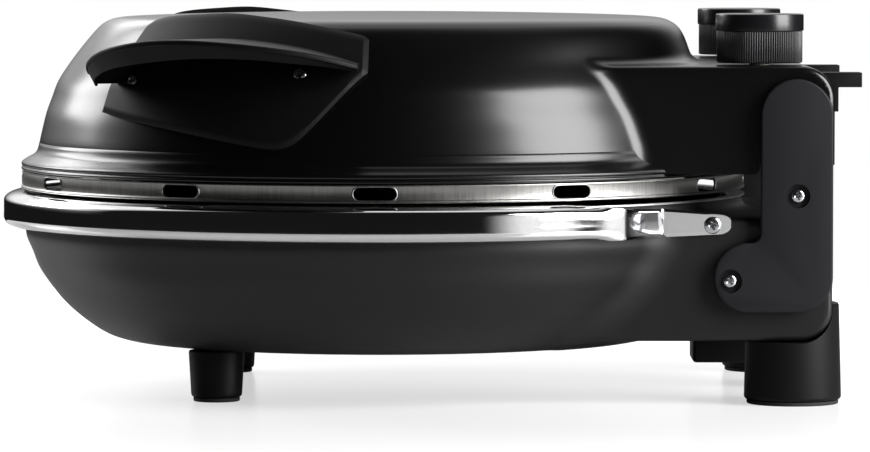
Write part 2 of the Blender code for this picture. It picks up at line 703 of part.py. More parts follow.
def make_base_shell(look, base):
    """The moulded bowl with its hollow rear block and hinge lugs."""
    path = bowl_path()
    shell = settle(turned(path + [(0, BOWL_TOP_Z)], ROUND_STEPS), "base_shell", look, base)
    rear = tool(extruded(block_outline(), -BLOCK_HALF_W, BLOCK_HALF_W), "rear_block", base)
    soften(rear, BLOCK_EDGE_R)
    combine(shell, rear, "UNION")
    for side, sign in SIDES:
        front = BLOCK_REAR_X - LUG_LENGTH
        outer = BLOCK_HALF_W - LUG_INSET
        back = BLOCK_REAR_X - LUG_INSET
        root = BLOCK_TOP_Z - OVERRUN
        outline = rounded([
            (front, root, 0), (back, root, 0), (back, LUG_TOP_Z, LUG_EDGE_R), (front, LUG_TOP_Z, LUG_EDGE_R),
        ])
        lug = mirrored(extruded(outline, -outer, LUG_THICKNESS - outer), sign)
        combine(shell, tool(lug, "lug_" + side, base), "UNION")
    inside = offset_left(path, SHELL_WALL)
    inside = [inside[0], *inside[1:-1:2], (inside[-1][0], BOWL_TOP_Z + OVERRUN), (0, BOWL_TOP_Z + OVERRUN)]
    combine(shell, tool(turned(inside, INNER_STEPS), "bowl_hollow", base), "DIFFERENCE")
    half = BLOCK_HALF_W - SHELL_WALL
    hollow = extruded(block_outline(-SHELL_WALL), -half, half)
    combine(shell, tool(hollow, "block_hollow", base), "DIFFERENCE")
    wires = rod(WIRE_HOLE_R, SHELL_WALL + 2 * OVERRUN, (WIRE_HOLE_X, 0, BLOCK_FLOOR_Z - OVERRUN))
    combine(shell, tool(wires, "wire_hole", base), "DIFFERENCE")
    for _, sign in SIDES:
        for x, z in PLATE_SCREWS:
            seat = PLATE_INNER_Y + PLATE_THICKNESS - PLATE_RECESS_DEPTH
            screw_hole(shell, (x, sign * seat, z), (0, sign, 0), PLATE_SCREW_LENGTH, base)
        seat = PLATE_INNER_Y + TAB_THICKNESS
        screw_hole(shell, (RING_SCREW_X, sign * seat, RING_SCREW_Z), (0, sign, 0), RING_SCREW_LENGTH, base)
        seat = (TERMINAL_EAR_X, sign * terminal_ear_y(), BLOCK_UNDER_Z - TERMINAL_WALL)
        screw_hole(shell, seat, (0, 0, -1), COVER_SCREW_LENGTH, base)
    return shell


def ring_section():
    """The clamp ring's bent section, open towards the bowl."""
    depth = RING_R - RING_LIP_R
    lower = RING_FACE_FOOT_Z - RING_FOOT_Z
    upper = RING_TOP_Z - RING_FACE_TOP_Z
    turns = [step / CORNER_STEPS * 90 * DEG for step in range(CORNER_STEPS + 1)]
    foot = [(RING_LIP_R + depth * math.sin(t), RING_FACE_FOOT_Z - lower * math.cos(t)) for t in turns]
    head = [(RING_LIP_R + depth * math.cos(t), RING_FACE_TOP_Z + upper * math.sin(t)) for t in turns]
    return sheet(foot + head, RING_WALL)


def tab_sections():
    """The strip that leaves the ring's circle and lies flat on the block's right side."""
    outer = RING_R - TAB_SINK
    flat_y = -(PLATE_INNER_Y + TAB_THICKNESS)
    start = Vector((TAB_START_X, -math.sqrt(outer ** 2 - TAB_START_X ** 2)))
    leave = Vector((RING_END_X, -math.sqrt(outer ** 2 - RING_END_X ** 2)))
    landing = Vector((TAB_FLAT_X, flat_y))
    bends = [Vector((between(leave.x, landing.x, x), between(leave.y, landing.y, y)))
             for x, y in TAB_BEND_SHARES]
    chamfer = Vector((TAB_END_X - TAB_CHAMFER, flat_y))
    end = Vector((TAB_END_X, flat_y))
    line = [start, leave, *bends, landing, chamfer, end]
    inner = offset_left([tuple(p) for p in line], TAB_THICKNESS)
    sections = []
    for here, behind in zip(line, inner):
        cut = TAB_CHAMFER if here is end else 0
        low = TAB_FOOT_Z + cut
        high = TAB_TOP_Z - cut
        sections.append([(*here, low), (*behind, low), (*behind, high), (*here, high)])
    return sections


def make_clamp_ring(look, base):
    """The polished ring, an open circle, with both tabs."""
    gap = math.acos(RING_END_X / RING_R)
    turn = 2 * (math.pi - gap)
    ring = settle(turned(ring_section(), RING_STEPS, turn, gap), "clamp_ring", look, base)
    for side, sign in SIDES:
        combine(ring, tool(mirrored(swept(tab_sections()), sign), "tab_" + side, base), "UNION")
    for _, sign in SIDES:
        seat = (RING_SCREW_X, sign * (PLATE_INNER_Y + TAB_THICKNESS), RING_SCREW_Z)
        screw_hole(ring, seat, (0, sign, 0), RING_SCREW_LENGTH, base)
    return ring


def pan_path():
    """The lower reflector's outside, from its middle to its flange."""
    return [
        (0, PAN_FLOOR_Z), (PAN_FLOOR_R, PAN_FLOOR_Z), (PAN_LEDGE_R, PAN_FLOOR_Z + PAN_BEND),
        (PAN_LEDGE_R, PAN_LEDGE_Z), (PAN_WALL_R, PAN_LEDGE_Z), (PAN_RIM_R, PAN_FLANGE_Z),
        (PAN_FLANGE_R, PAN_FLANGE_Z),
    ]


def make_base_liner(look, base):
    """The lower reflector pan with the two holes for the element's legs."""
    pan = settle(turned(sheet(pan_path(), SHEET), INNER_STEPS), "base_liner", look, base)
    for _, sign in SIDES:
        start = (LOWER_LOOP_R, sign * LEG_Y, LOWER_LOOP_Z)
        hole = rod(LEG_HOLE_R, LOWER_LEG_END_X - LOWER_LOOP_R, start, (1, 0, 0))
        combine(pan, tool(hole, "pan_leg_hole", base), "DIFFERENCE")
    return pan


def make_stone(look, base):
    """The round pizza stone, which rests on the pan's ledge."""
    top = STONE_FOOT_Z + STONE_THICKNESS
    section = [
        (0, STONE_FOOT_Z), (STONE_R, STONE_FOOT_Z), (STONE_R, top - STONE_EDGE), (STONE_R - STONE_EDGE, top),
        (0, top),
    ]
    return settle(turned(section, INNER_STEPS), "pizza_stone", look, base)


def element_points(loop_r, leg_end_x):
    """One leg, a bend, the open circle and the other leg, in plan."""
    bend_y = LEG_Y + LEG_BEND_R
    bend_x = math.sqrt((loop_r + LEG_BEND_R) ** 2 - bend_y ** 2)
    meet = math.atan2(bend_y, bend_x)
    bend = arc(bend_x, bend_y, LEG_BEND_R, 270 * DEG, 180 * DEG + meet)
    loop = arc(0, 0, loop_r, meet, 2 * math.pi - meet, LOOP_STEPS)[1:-1]
    back = [(x, -y) for x, y in reversed(bend)]
    return [(leg_end_x, LEG_Y), *bend, *loop, *back, (leg_end_x, -LEG_Y)]


def make_element(name, loop_r, z, leg_end_x, look, carrier):
    """A tubular heating element as a bevelled curve."""
    curve = bpy.data.curves.new(name, "CURVE")
    curve.dimensions = "3D"
    curve.bevel_depth = TUBE_R
    curve.bevel_resolution = 1
    curve.use_fill_caps = True
    spline = curve.splines.new("POLY")
    points = element_points(loop_r, leg_end_x)
    spline.points.add(len(points) - 1)
    origin = Vector(carrier["place"])
    for point, (x, y) in zip(spline.points, points):
        point.co = (*(Vector((x, y, z)) - origin), 1)
    spline.use_smooth = True
    curve.materials.append(look)
    made = bpy.data.objects.new(name, curve)
    bpy.context.scene.collection.objects.link(made)
    made.parent = carrier
    return made


def make_eye_tab(name, angle, loop_r, loop_z, root_z, look, carrier):
    """A standing tab with an eye that the element's tube passes through."""
    beyond = EYE_R + EYE_TAB_BEYOND
    tip_z = loop_z + math.copysign(beyond, loop_z - root_z)
    low, high = sorted((root_z, tip_z))
    half = EYE_TAB_W / 2
    outline = rounded([(-half, low, 0), (half, low, 0), (half, high, 0), (-half, high, 0)])
    plate = extruded(outline, -EYE_TAB_THICKNESS / 2, EYE_TAB_THICKNESS / 2)
    start = -EYE_TAB_THICKNESS / 2 - OVERRUN
    hole = rod(EYE_R, -2 * start, (0, start, loop_z), (0, 1, 0))
    place = Matrix.Rotation(angle, 4, "Z") @ Matrix.Translation(Vector((loop_r, 0, 0)))
    for shape in (plate, hole):
        bmesh.ops.transform(shape, matrix=place, verts=shape.verts)
    tab = settle(plate, name, look, carrier)
    combine(tab, tool(hole, name + "_eye", carrier), "DIFFERENCE")
    return tab


def terminal_ear_y():
    """How far the terminal box's screws are from the middle."""
    return TERMINAL_HALF_W + TERMINAL_EAR_REACH / 2


def make_terminal_box(look, base):
    """The box under the rear block, open at its top, with an ear on each side."""
    low = (TERMINAL_FRONT_X, -TERMINAL_HALF_W, TERMINAL_FOOT_Z)
    high = (TERMINAL_REAR_X, TERMINAL_HALF_W, BLOCK_UNDER_Z)
    box = settle(block(low, high), "terminal_box", look, base)
    soften(box, TERMINAL_EDGE_R)
    reach = TERMINAL_HALF_W + TERMINAL_EAR_REACH
    ears = block((TERMINAL_EAR_X - TERMINAL_EAR_HALF_L, -reach, BLOCK_UNDER_Z - TERMINAL_WALL),
                 (TERMINAL_EAR_X + TERMINAL_EAR_HALF_L, reach, BLOCK_UNDER_Z))
    combine(box, tool(ears, "terminal_ears", base), "UNION")
    hollow = block((low[0] + TERMINAL_WALL, low[1] + TERMINAL_WALL, low[2] + TERMINAL_WALL),
                   (high[0] - TERMINAL_WALL, high[1] - TERMINAL_WALL, high[2] + OVERRUN))
    combine(box, tool(hollow, "terminal_hollow", base), "DIFFERENCE")
    start = (TERMINAL_REAR_X - GLAND_INSIDE, 0, GLAND_Z)
    gland = rod(GLAND_R + CLEARANCE, GLAND_INSIDE + OVERRUN, start, (1, 0, 0))
    combine(box, tool(gland, "gland_hole", base), "DIFFERENCE")
    for _, sign in SIDES:
        seat = (TERMINAL_EAR_X, sign * terminal_ear_y(), BLOCK_UNDER_Z - TERMINAL_WALL)
        screw_hole(box, seat, (0, 0, -1), COVER_SCREW_LENGTH, base)
    return box


def make_terminal_block(look, base):
    """The connector strip that stands in the terminal box."""
    foot = TERMINAL_FOOT_Z + TERMINAL_WALL + CLEARANCE
    front = TERMINAL_BLOCK_FRONT_X
    strip = block((front, -TERMINAL_BLOCK_HALF_W, foot),
                  (front + TERMINAL_BLOCK_LENGTH, TERMINAL_BLOCK_HALF_W, foot + TERMINAL_BLOCK_HEIGHT))
    made = settle(strip, "terminal_block", look, base)
    soften(made, TERMINAL_BLOCK_EDGE, 1)
    return made


def make_gland(look, base):
    """The bushing in the terminal box's rear wall, where a cord would enter."""
    seat = CLEARANCE + GLAND_FLANGE_THICKNESS
    section = [
        (GLAND_BORE_R, -GLAND_INSIDE), (GLAND_R, -GLAND_INSIDE), (GLAND_R, CLEARANCE),
        (GLAND_FLANGE_R, CLEARANCE), (GLAND_FLANGE_R, seat), (GLAND_NOSE_R, seat + CLEARANCE),
        (GLAND_NOSE_R, GLAND_REACH), (GLAND_BORE_R, GLAND_REACH),
    ]
    shape = moved(turned(section, SMALL_STEPS), (TERMINAL_REAR_X, 0, GLAND_Z), (1, 0, 0))
    return settle(shape, "cord_gland", look, base)


def make_cutout(look, base):
    """The thermal cut-out under the pan's floor."""
    top = PAN_FLOOR_Z - CLEARANCE
    section = [
        (0, top - CUTOUT_HEIGHT), (CUTOUT_CAP_R, top - CUTOUT_HEIGHT), (CUTOUT_CAP_R, top - CUTOUT_FLANGE),
        (CUTOUT_R, top - CUTOUT_FLANGE), (CUTOUT_R, top), (0, top),
    ]
    return settle(moved(turned(section, SMALL_STEPS), (CUTOUT_X, 0, 0)), "thermal_cutout", look, base)


def make_front_foot(side, sign, look, base):
    """A round, slightly tapered foot under the bowl's floor."""
    top = BOWL_FLOOR_Z - CLEARANCE
    section = [
        (0, FOOT_Z), (FRONT_FOOT_TIP_R - FOOT_EDGE, FOOT_Z), (FRONT_FOOT_TIP_R, FOOT_Z + FOOT_EDGE),
        (FRONT_FOOT_R, top - FOOT_EDGE), (FRONT_FOOT_R, top), (0, top),
    ]
    shape = moved(turned(section, FOOT_STEPS), (FRONT_FOOT_X, sign * FRONT_FOOT_Y, 0))
    return settle(shape, "front_foot_" + side, look, base)


def make_rear_foot(side, sign, look, base):
    """A wide foot that wraps the lower rear corner of the block."""
    section = [
        (0, FOOT_Z), (REAR_FOOT_R - FOOT_EDGE, FOOT_Z), (REAR_FOOT_R, FOOT_Z + FOOT_EDGE),
        (REAR_FOOT_TOP_R, REAR_FOOT_TOP_Z - FOOT_EDGE), (REAR_FOOT_TOP_R - FOOT_EDGE, REAR_FOOT_TOP_Z),
        (0, REAR_FOOT_TOP_Z),
    ]
    shape = moved(turned(section, REAR_FOOT_STEPS), (REAR_FOOT_X, sign * REAR_FOOT_Y, 0))
    foot = settle(shape, "rear_foot_" + side, look, base)
    reach = REAR_FOOT_Y + REAR_FOOT_R + OVERRUN
    corner = extruded(block_outline(CLEARANCE), -reach, reach)
    combine(foot, tool(corner, "foot_corner_" + side, base), "DIFFERENCE")
    return foot


def make_pad(name, place, foot_r, look, base):
    """A rubber pad, flat on the floor."""
    radius = foot_r - PAD_INSET
    top = FOOT_Z - CLEARANCE
    section = [(0, 0), (radius - PAD_EDGE, 0), (radius, PAD_EDGE), (radius, top), (0, top)]
    return settle(moved(turned(section, FOOT_STEPS), (*place, 0)), name, look, base)


def plate_outline():
    """A hinge plate seen from its side."""
    front = HINGE_X - PLATE_HALF_W
    rear = HINGE_X + PLATE_HALF_W
    lobe_z = PLATE_FOOT_Z + LOBE_R
    lobe_top = PLATE_FOOT_Z + 2 * LOBE_R
    heel_x = rear - PLATE_HEEL_R
    heel_z = PLATE_FOOT_Z + PLATE_HEEL_R
    notch_x = front - LOBE_CORNER_R
    notch_z = lobe_top + LOBE_CORNER_R
    top = arc(HINGE_X, HINGE_Z, PLATE_HALF_W, 180 * DEG, 0, 3 * CORNER_STEPS)
    heel = arc(heel_x, heel_z, PLATE_HEEL_R, 0, -90 * DEG)
    lobe = arc(LOBE_X, lobe_z, LOBE_R, 270 * DEG, 90 * DEG, 3 * CORNER_STEPS)
    notch = arc(notch_x, notch_z, LOBE_CORNER_R, 270 * DEG, 360 * DEG)
    return [*top, *heel, *lobe, *notch]


def make_hinge_plate(side, sign, look, base):
    """A side plate with two recessed screw seats and a blind hole for its pin."""
    inner = -PLATE_INNER_Y
    plate = extruded(plate_outline(), inner - PLATE_THICKNESS, inner)
    made = settle(mirrored(plate, sign), "hinge_plate_" + side, look, base)
    soften(made, PLATE_EDGE_R, 1)
    outside = sign * (PLATE_INNER_Y + PLATE_THICKNESS)
    for x, z in PLATE_SCREWS:
        seat = (x, outside - sign * PLATE_RECESS_DEPTH, z)
        screw_hole(made, seat, (0, sign, 0), PLATE_SCREW_LENGTH, base, PLATE_RECESS_R)
    start = (HINGE_X, sign * (PLATE_INNER_Y - OVERRUN), HINGE_Z)
    pin = rod(PIN_R + CLEARANCE, OVERRUN + PIN_IN_PLATE, start, (0, sign, 0))
    combine(made, tool(pin, "pin_seat_" + side, base), "DIFFERENCE")
    return made


def make_hinge_pin(side, sign, look, base):
    """A pin in the plate that carries the control box's wall, with a collar inside it."""
    wall_inner = BOX_HALF_W - SHELL_WALL - CLEARANCE
    collar_end = wall_inner - PIN_COLLAR_LENGTH
    outer = PLATE_INNER_Y + PIN_IN_PLATE - CLEARANCE
    section = [
        (0, collar_end - PIN_TAIL), (PIN_R, collar_end - PIN_TAIL), (PIN_R, collar_end),
        (PIN_COLLAR_R, collar_end), (PIN_COLLAR_R, wall_inner), (PIN_R, wall_inner),
        (PIN_R, outer), (0, outer),
    ]
    shape = moved(turned(section, SMALL_STEPS), (HINGE_X, 0, HINGE_Z), (0, sign, 0))
    return settle(shape, "hinge_pin_" + side, look, base)


def dome_path():
    """The lid's outside from its flange to the middle of its crown."""
    wall = [
        (between(DOME_FOOT_R, DOME_EDGE_R, r), between(DOME_FOOT_Z, DOME_EDGE_Z, z))
        for r, z in DOME_WALL_SHARES
    ]
    crown = [(DOME_EDGE_R * r, DOME_EDGE_Z + CROWN_RISE * z) for r, z in CROWN_SHARES]
    return [
        (FLANGE_R, FLANGE_FOOT_Z), (FLANGE_R, FLANGE_TOP_Z), (DOME_FOOT_R, DOME_FOOT_Z), *wall,
        (DOME_EDGE_R, DOME_EDGE_Z), *crown, (0, DOME_EDGE_Z + CROWN_RISE),
    ]


def dome_radius(z):
    """The dome wall's outer radius at a height, carried on above its edge."""
    wall = [(h, r) for r, h in dome_path()[2:-len(CROWN_SHARES) - 2]]
    if z <= HANDLE_LEAN_FROM_Z:
        return read_shares(wall, z)
    return read_shares(wall, HANDLE_LEAN_FROM_Z) - (z - HANDLE_LEAN_FROM_Z) * HANDLE_LEAN_SHARE


def box_outline(inset=0.0):
    """The control box seen from the side."""
    rear = BOX_REAR_X - inset
    top = BOX_TOP_Z - inset
    foot = BOX_FOOT_Z if inset == 0 else BOX_FOOT_Z - OVERRUN
    return rounded([
        (BOX_FRONT_X, foot, 0), (rear, foot, 0), (rear, top, BOX_CORNER_R - inset), (BOX_FRONT_X, top, 0),
    ])


def make_control_box(lid):
    """The hollow control box, open below and cut to the dome's wall."""
    box = tool(extruded(box_outline(), -BOX_HALF_W, BOX_HALF_W), "control_box", lid)
    soften(box, BOX_EDGE_R)
    half = BOX_HALF_W - SHELL_WALL
    combine(box, tool(extruded(box_outline(SHELL_WALL), -half, half), "box_hollow", lid), "DIFFERENCE")
    cover_top = BOX_FOOT_Z + CLEARANCE + BOX_COVER_THICKNESS
    for _, sign in SIDES:
        foot = (BOX_SCREW_X, sign * BOX_SCREW_Y, cover_top + CLEARANCE)
        boss = rod(BOX_BOSS_R, BOX_TOP_Z - SHELL_WALL / 2 - foot[2], foot)
        combine(box, tool(boss, "box_boss", lid), "UNION")
    foot = DOME_FOOT_Z - OVERRUN
    wall = [(max(r - SHELL_WALL / 2, 0), z - SHELL_WALL / 2) for r, z in dome_path()[1:]]
    core = [(0, foot), (FLANGE_R - SHELL_WALL / 2, foot), *wall]
    combine(box, tool(turned(core, ROUND_STEPS), "dome_core", lid), "DIFFERENCE")
    return box


def make_lid_shell(look, lid):
    """The dome and the control box in one moulding."""
    path = dome_path()
    inside = offset_left(path, SHELL_WALL)
    inside = [*inside[:2], *inside[2:-1:2], inside[-1]]
    shell = settle(turned(path + inside[::-1], ROUND_STEPS), "lid_shell", look, lid)
    combine(shell, make_control_box(lid), "UNION")
    for side, sign in SIDES:
        start = (HINGE_X, sign * (BOX_HALF_W - OVERRUN), HINGE_Z)
        pin = rod(PIN_R + PIN_HOLE_SPARE, 2 * OVERRUN, start, (0, sign, 0))
        combine(shell, tool(pin, "pin_hole_" + side, lid), "DIFFERENCE")
        start = (KNOB_X, sign * KNOB_Y, BOX_TOP_Z - OVERRUN)
        bush = rod(BUSH_R + CLEARANCE, 2 * OVERRUN, start, steps=CONTROL_STEPS)
        combine(shell, tool(bush, "bush_hole_" + side, lid), "DIFFERENCE")
        lens = rod(LENS_R + CLEARANCE, 2 * OVERRUN, (KNOB_X, sign * LENS_Y, BOX_TOP_Z - OVERRUN))
        combine(shell, tool(lens, "lens_hole_" + side, lid), "DIFFERENCE")
        leg = rod(LEG_HOLE_R, 2 * OVERRUN, (dome_radius(UPPER_LOOP_Z) - OVERRUN, sign * LEG_Y, UPPER_LOOP_Z),
                  (1, 0, 0))
        combine(shell, tool(leg, "shell_leg_hole_" + side, lid), "DIFFERENCE")
        seat = (BOX_SCREW_X, sign * BOX_SCREW_Y, BOX_FOOT_Z + CLEARANCE)
        screw_hole(shell, seat, (0, 0, -1), COVER_SCREW_LENGTH, lid)
        for angle, z in HANDLE_SCREWS:
            place, out = handle_screw_seat(angle, z, sign)
            screw_hole(shell, place, out, HANDLE_SCREW_LENGTH, lid)
    return shell


def make_box_cover(look, lid):
    """The flat cover that closes the control box from below."""
    foot = BOX_FOOT_Z + CLEARANCE
    half = BOX_HALF_W - SHELL_WALL - CLEARANCE
    rear = BOX_REAR_X - SHELL_WALL - CLEARANCE
    plate = block((BOX_FRONT_X, -half, foot), (rear, half, foot + BOX_COVER_THICKNESS))
    cover = settle(plate, "control_box_cover", look, lid)
    notch = rod(FLANGE_R, BOX_COVER_THICKNESS + 2 * OVERRUN, (0, 0, foot - OVERRUN), steps=ROUND_STEPS)
    combine(cover, tool(notch, "cover_notch", lid), "DIFFERENCE")
    for _, sign in SIDES:
        screw_hole(cover, (BOX_SCREW_X, sign * BOX_SCREW_Y, foot), (0, 0, -1), COVER_SCREW_LENGTH, lid)
    return cover


def make_band(look, lid):
    """The slotted band, a thin cylinder that hangs from the flange."""
    top = FLANGE_FOOT_Z - CLEARANCE
    section = sheet([(BAND_R, BAND_FOOT_Z), (BAND_R, top)], SHEET)
    band = settle(turned(section, ROUND_STEPS), "slotted_band", look, lid)
    round_r = SLOT_HEIGHT / 2
    straight = SLOT_LENGTH / 2 - round_r
    near = arc(straight, 0, round_r, -90 * DEG, 90 * DEG)
    outline = [*near, *[(-u, -v) for u, v in near]]
    angles = [0, math.pi]
    for index in range(SLOTS_PER_SIDE):
        angle = SLOT_FIRST + index * SLOT_PITCH
        angles += [angle, -angle]
    for angle in angles:
        slot = extruded(outline, BAND_R - OVERRUN, BAND_R + OVERRUN)
        turn = Matrix.Translation((0, 0, SLOT_Z)) @ Matrix.Rotation(angle + 90 * DEG, 4, "Z")
        bmesh.ops.transform(slot, matrix=turn, verts=slot.verts)
        combine(band, tool(slot, "slot", lid), "DIFFERENCE")
    return band


def make_lid_liner(look, lid):
    """The upper reflector with the two holes for the element's legs."""
    top_r = LINER_WALL_TOP_R
    bends = [
        (between(top_r, LINER_CEILING_R, r), between(LINER_WALL_TOP_Z, LINER_CEILING_Z, z))
        for r, z in LINER_BEND_SHARES
    ]
    path = [
        (LINER_FLANGE_R, LINER_FLANGE_Z), (LINER_FOOT_R, LINER_FLANGE_Z), (top_r, LINER_WALL_TOP_Z), *bends,
        (LINER_CEILING_R, LINER_CEILING_Z), (0, LINER_CEILING_Z + LINER_CROWN_RISE),
    ]
    liner = settle(turned(sheet(path, SHEET), INNER_STEPS), "lid_liner", look, lid)
    for _, sign in SIDES:
        start = (UPPER_LOOP_R + OVERRUN, sign * LEG_Y, UPPER_LOOP_Z)
        hole = rod(LEG_HOLE_R, UPPER_LEG_END_X - UPPER_LOOP_R, start, (1, 0, 0))
        combine(liner, tool(hole, "liner_leg_hole", lid), "DIFFERENCE")
    return liner


def handle_screw_seat(angle, z, sign):
    """The seat and the outward direction of a handle screw."""
    out = Vector((*polar(1, angle), 0))
    seat_r = dome_radius(z) + HANDLE_STAND_OFF + HANDLE_THICKNESS - HANDLE_SEAT_DEPTH
    place = out * seat_r + Vector((0, 0, z))
    if sign > 0:
        out.y = -out.y
        place.y = -place.y
    return place, out


def handle_plate():
    """The handle's curved plate on the right side."""
    bm = bmesh.new()
    skins = []
    for lift in (HANDLE_STAND_OFF, HANDLE_STAND_OFF + HANDLE_THICKNESS):
        skin = []
        for column in range(HANDLE_COLUMNS + 1):
            share = column / HANDLE_COLUMNS
            angle = between(HANDLE_FROM, HANDLE_TO, share)
            foot = between(HANDLE_FOOT_Z, HANDLE_TOP_Z, read_shares(HANDLE_FOOT_SHARES, share))
            top = between(HANDLE_FOOT_Z, HANDLE_TOP_Z, read_shares(HANDLE_TOP_SHARES, share))
            heights = [between(foot, top, row / HANDLE_ROWS) for row in range(HANDLE_ROWS + 1)]
            skin.append([bm.verts.new((*polar(dome_radius(z) + lift, angle), z)) for z in heights])
        skins.append(skin)
    inner, outer = skins
    for skin in skins:
        for left, right in zip(skin, skin[1:]):
            for row in range(HANDLE_ROWS):
                bm.faces.new((left[row], right[row], right[row + 1], left[row + 1]))
    for row in range(HANDLE_ROWS):
        for end in (0, -1):
            bm.faces.new((inner[end][row], outer[end][row], outer[end][row + 1], inner[end][row + 1]))
    for column in range(HANDLE_COLUMNS):
        for end in (0, -1):
            bm.faces.new((inner[column][end], outer[column][end],
                          outer[column + 1][end], inner[column + 1][end]))
    bm.normal_update()
    bmesh.ops.triangulate(bm, faces=bm.faces)
    return bm


def handle_brim():
    """The brim: an arched shelf with a lip that turns down at its edge."""
    sections = []
    for column in range(BRIM_COLUMNS + 1):
        share = column / BRIM_COLUMNS
        angle = between(BRIM_FROM, BRIM_TO, share)
        reach = between(BRIM_INNER_R, BRIM_R, read_shares(BRIM_REACH_SHARES, share))
        top = between(BRIM_FOOT_Z, BRIM_CROWN_Z, read_shares(BRIM_RISE_SHARES, share))
        under = top - BRIM_THICKNESS
        middle = HANDLE_STAND_OFF + HANDLE_THICKNESS / 2
        root = dome_radius(top) + middle
        under_root = dome_radius(under) + middle
        lip = top - BRIM_LIP_HEIGHT
        inside = reach - BRIM_THICKNESS
        section = [(root, top), (reach, top), (reach, lip), (inside, lip), (inside, under),
                   (under_root, under)]
        sections.append([(*polar(r, angle), z) for r, z in section])
    return swept(sections)


def make_handle(side, sign, look, lid):
    """A side handle: its plate and its brim in one moulding."""
    handle = settle(mirrored(handle_plate(), sign), "handle_" + side, look, lid)
    combine(handle, tool(mirrored(handle_brim(), sign), "brim_" + side, lid), "UNION")
    for angle, z in HANDLE_SCREWS:
        place, out = handle_screw_seat(angle, z, sign)
        screw_hole(handle, place, out, HANDLE_SCREW_LENGTH, lid, HEAD_R + CLEARANCE)
    return handle


def make_control(name, sign, look, lid):
    """A thermostat or timer body that hangs from the box's top by its bush."""
    top = BOX_TOP_Z - SHELL_WALL - CLEARANCE
    neck = top - CONTROL_NECK_HEIGHT
    section = [
        (0, top - CONTROL_HEIGHT), (CONTROL_R, top - CONTROL_HEIGHT), (CONTROL_R, neck),
        (CONTROL_NECK_R, neck), (CONTROL_NECK_R, top), (BUSH_R, top), (BUSH_R, BUSH_TOP_Z),
        (0, BUSH_TOP_Z),
    ]
    return settle(moved(turned(section, CONTROL_STEPS), (KNOB_X, sign * KNOB_Y, 0)), name, look, lid)


def make_shaft(name, sign, look, carrier):
    """The turning shaft between a control and its knob."""
    foot = BUSH_TOP_Z + CLEARANCE
    return settle(rod(SHAFT_R, SHAFT_TOP_Z - foot, (KNOB_X, sign * KNOB_Y, foot)), name, look, carrier)


def make_knob(name, sign, look, carrier):
    """A round knob with a smooth cap, a grip, a neck, a blind bore and a pointer groove."""
    bore_top = SHAFT_TOP_Z + CLEARANCE
    section = [
        (0, KNOB_TOP_Z), (KNOB_R - KNOB_CAP_EDGE, KNOB_TOP_Z), (KNOB_R, KNOB_TOP_Z - KNOB_CAP_EDGE),
        (KNOB_R, KNOB_CAP_Z), (KNOB_GRIP_R, KNOB_CAP_Z), (KNOB_GRIP_R, KNOB_GRIP_Z),
        (KNOB_NECK_R, KNOB_GRIP_Z), (KNOB_NECK_R, KNOB_FOOT_Z), (KNOB_COUNTERBORE_R, KNOB_FOOT_Z),
        (KNOB_COUNTERBORE_R, KNOB_COUNTERBORE_Z), (KNOB_BORE_R, KNOB_COUNTERBORE_Z),
        (KNOB_BORE_R, bore_top), (0, bore_top),
    ]
    knob = settle(moved(turned(section, KNOB_STEPS), (KNOB_X, sign * KNOB_Y, 0)), name, look, carrier)
    half = POINTER_WIDTH / 2
    low = (KNOB_X - KNOB_R - OVERRUN, sign * KNOB_Y - half, KNOB_TOP_Z - POINTER_DEPTH)
    high = (KNOB_X - KNOB_R + POINTER_LENGTH, sign * KNOB_Y + half, KNOB_TOP_Z + OVERRUN)
    combine(knob, tool(block(low, high), name + "_pointer", carrier), "DIFFERENCE")
    return knob


def make_lens(name, sign, look, lid):
    """A pilot lamp lens in the box's top."""
    seat = BOX_TOP_Z + CLEARANCE
    section = [
        (0, seat - LENS_DEPTH), (LENS_R, seat - LENS_DEPTH), (LENS_R, seat), (LENS_FLANGE_R, seat),
        (LENS_R, seat + LENS_RISE), (0, seat + LENS_RISE),
    ]
    return settle(moved(turned(section, SMALL_STEPS), (KNOB_X, sign * LENS_Y, 0)), name, look, lid)


def make_hook(side, sign, look, lid):
    """A cord wrap hook that hugs the box's rear corner and points backwards."""
    back = BOX_REAR_X + CLEARANCE
    leg = back + HOOK_LEG_THICKNESS
    corner_x = BOX_REAR_X - BOX_CORNER_R
    corner_z = BOX_TOP_Z - BOX_CORNER_R
    corner_r = BOX_CORNER_R + CLEARANCE
    wrap = math.asin((HOOK_TOP_Z - corner_z) / corner_r)
    outline = [
        (back, HOOK_FOOT_Z), (leg, HOOK_FOOT_Z), (leg, HOOK_PEG_Z), (HOOK_TIP_X, HOOK_PEG_Z),
        (HOOK_TIP_X, HOOK_TOP_Z), *arc(corner_x, corner_z, corner_r, wrap, 0),
    ]
    low = sign * HOOK_Y - HOOK_HALF_W
    return settle(extruded(outline, low, low + 2 * HOOK_HALF_W), "cord_hook_" + side, look, lid)


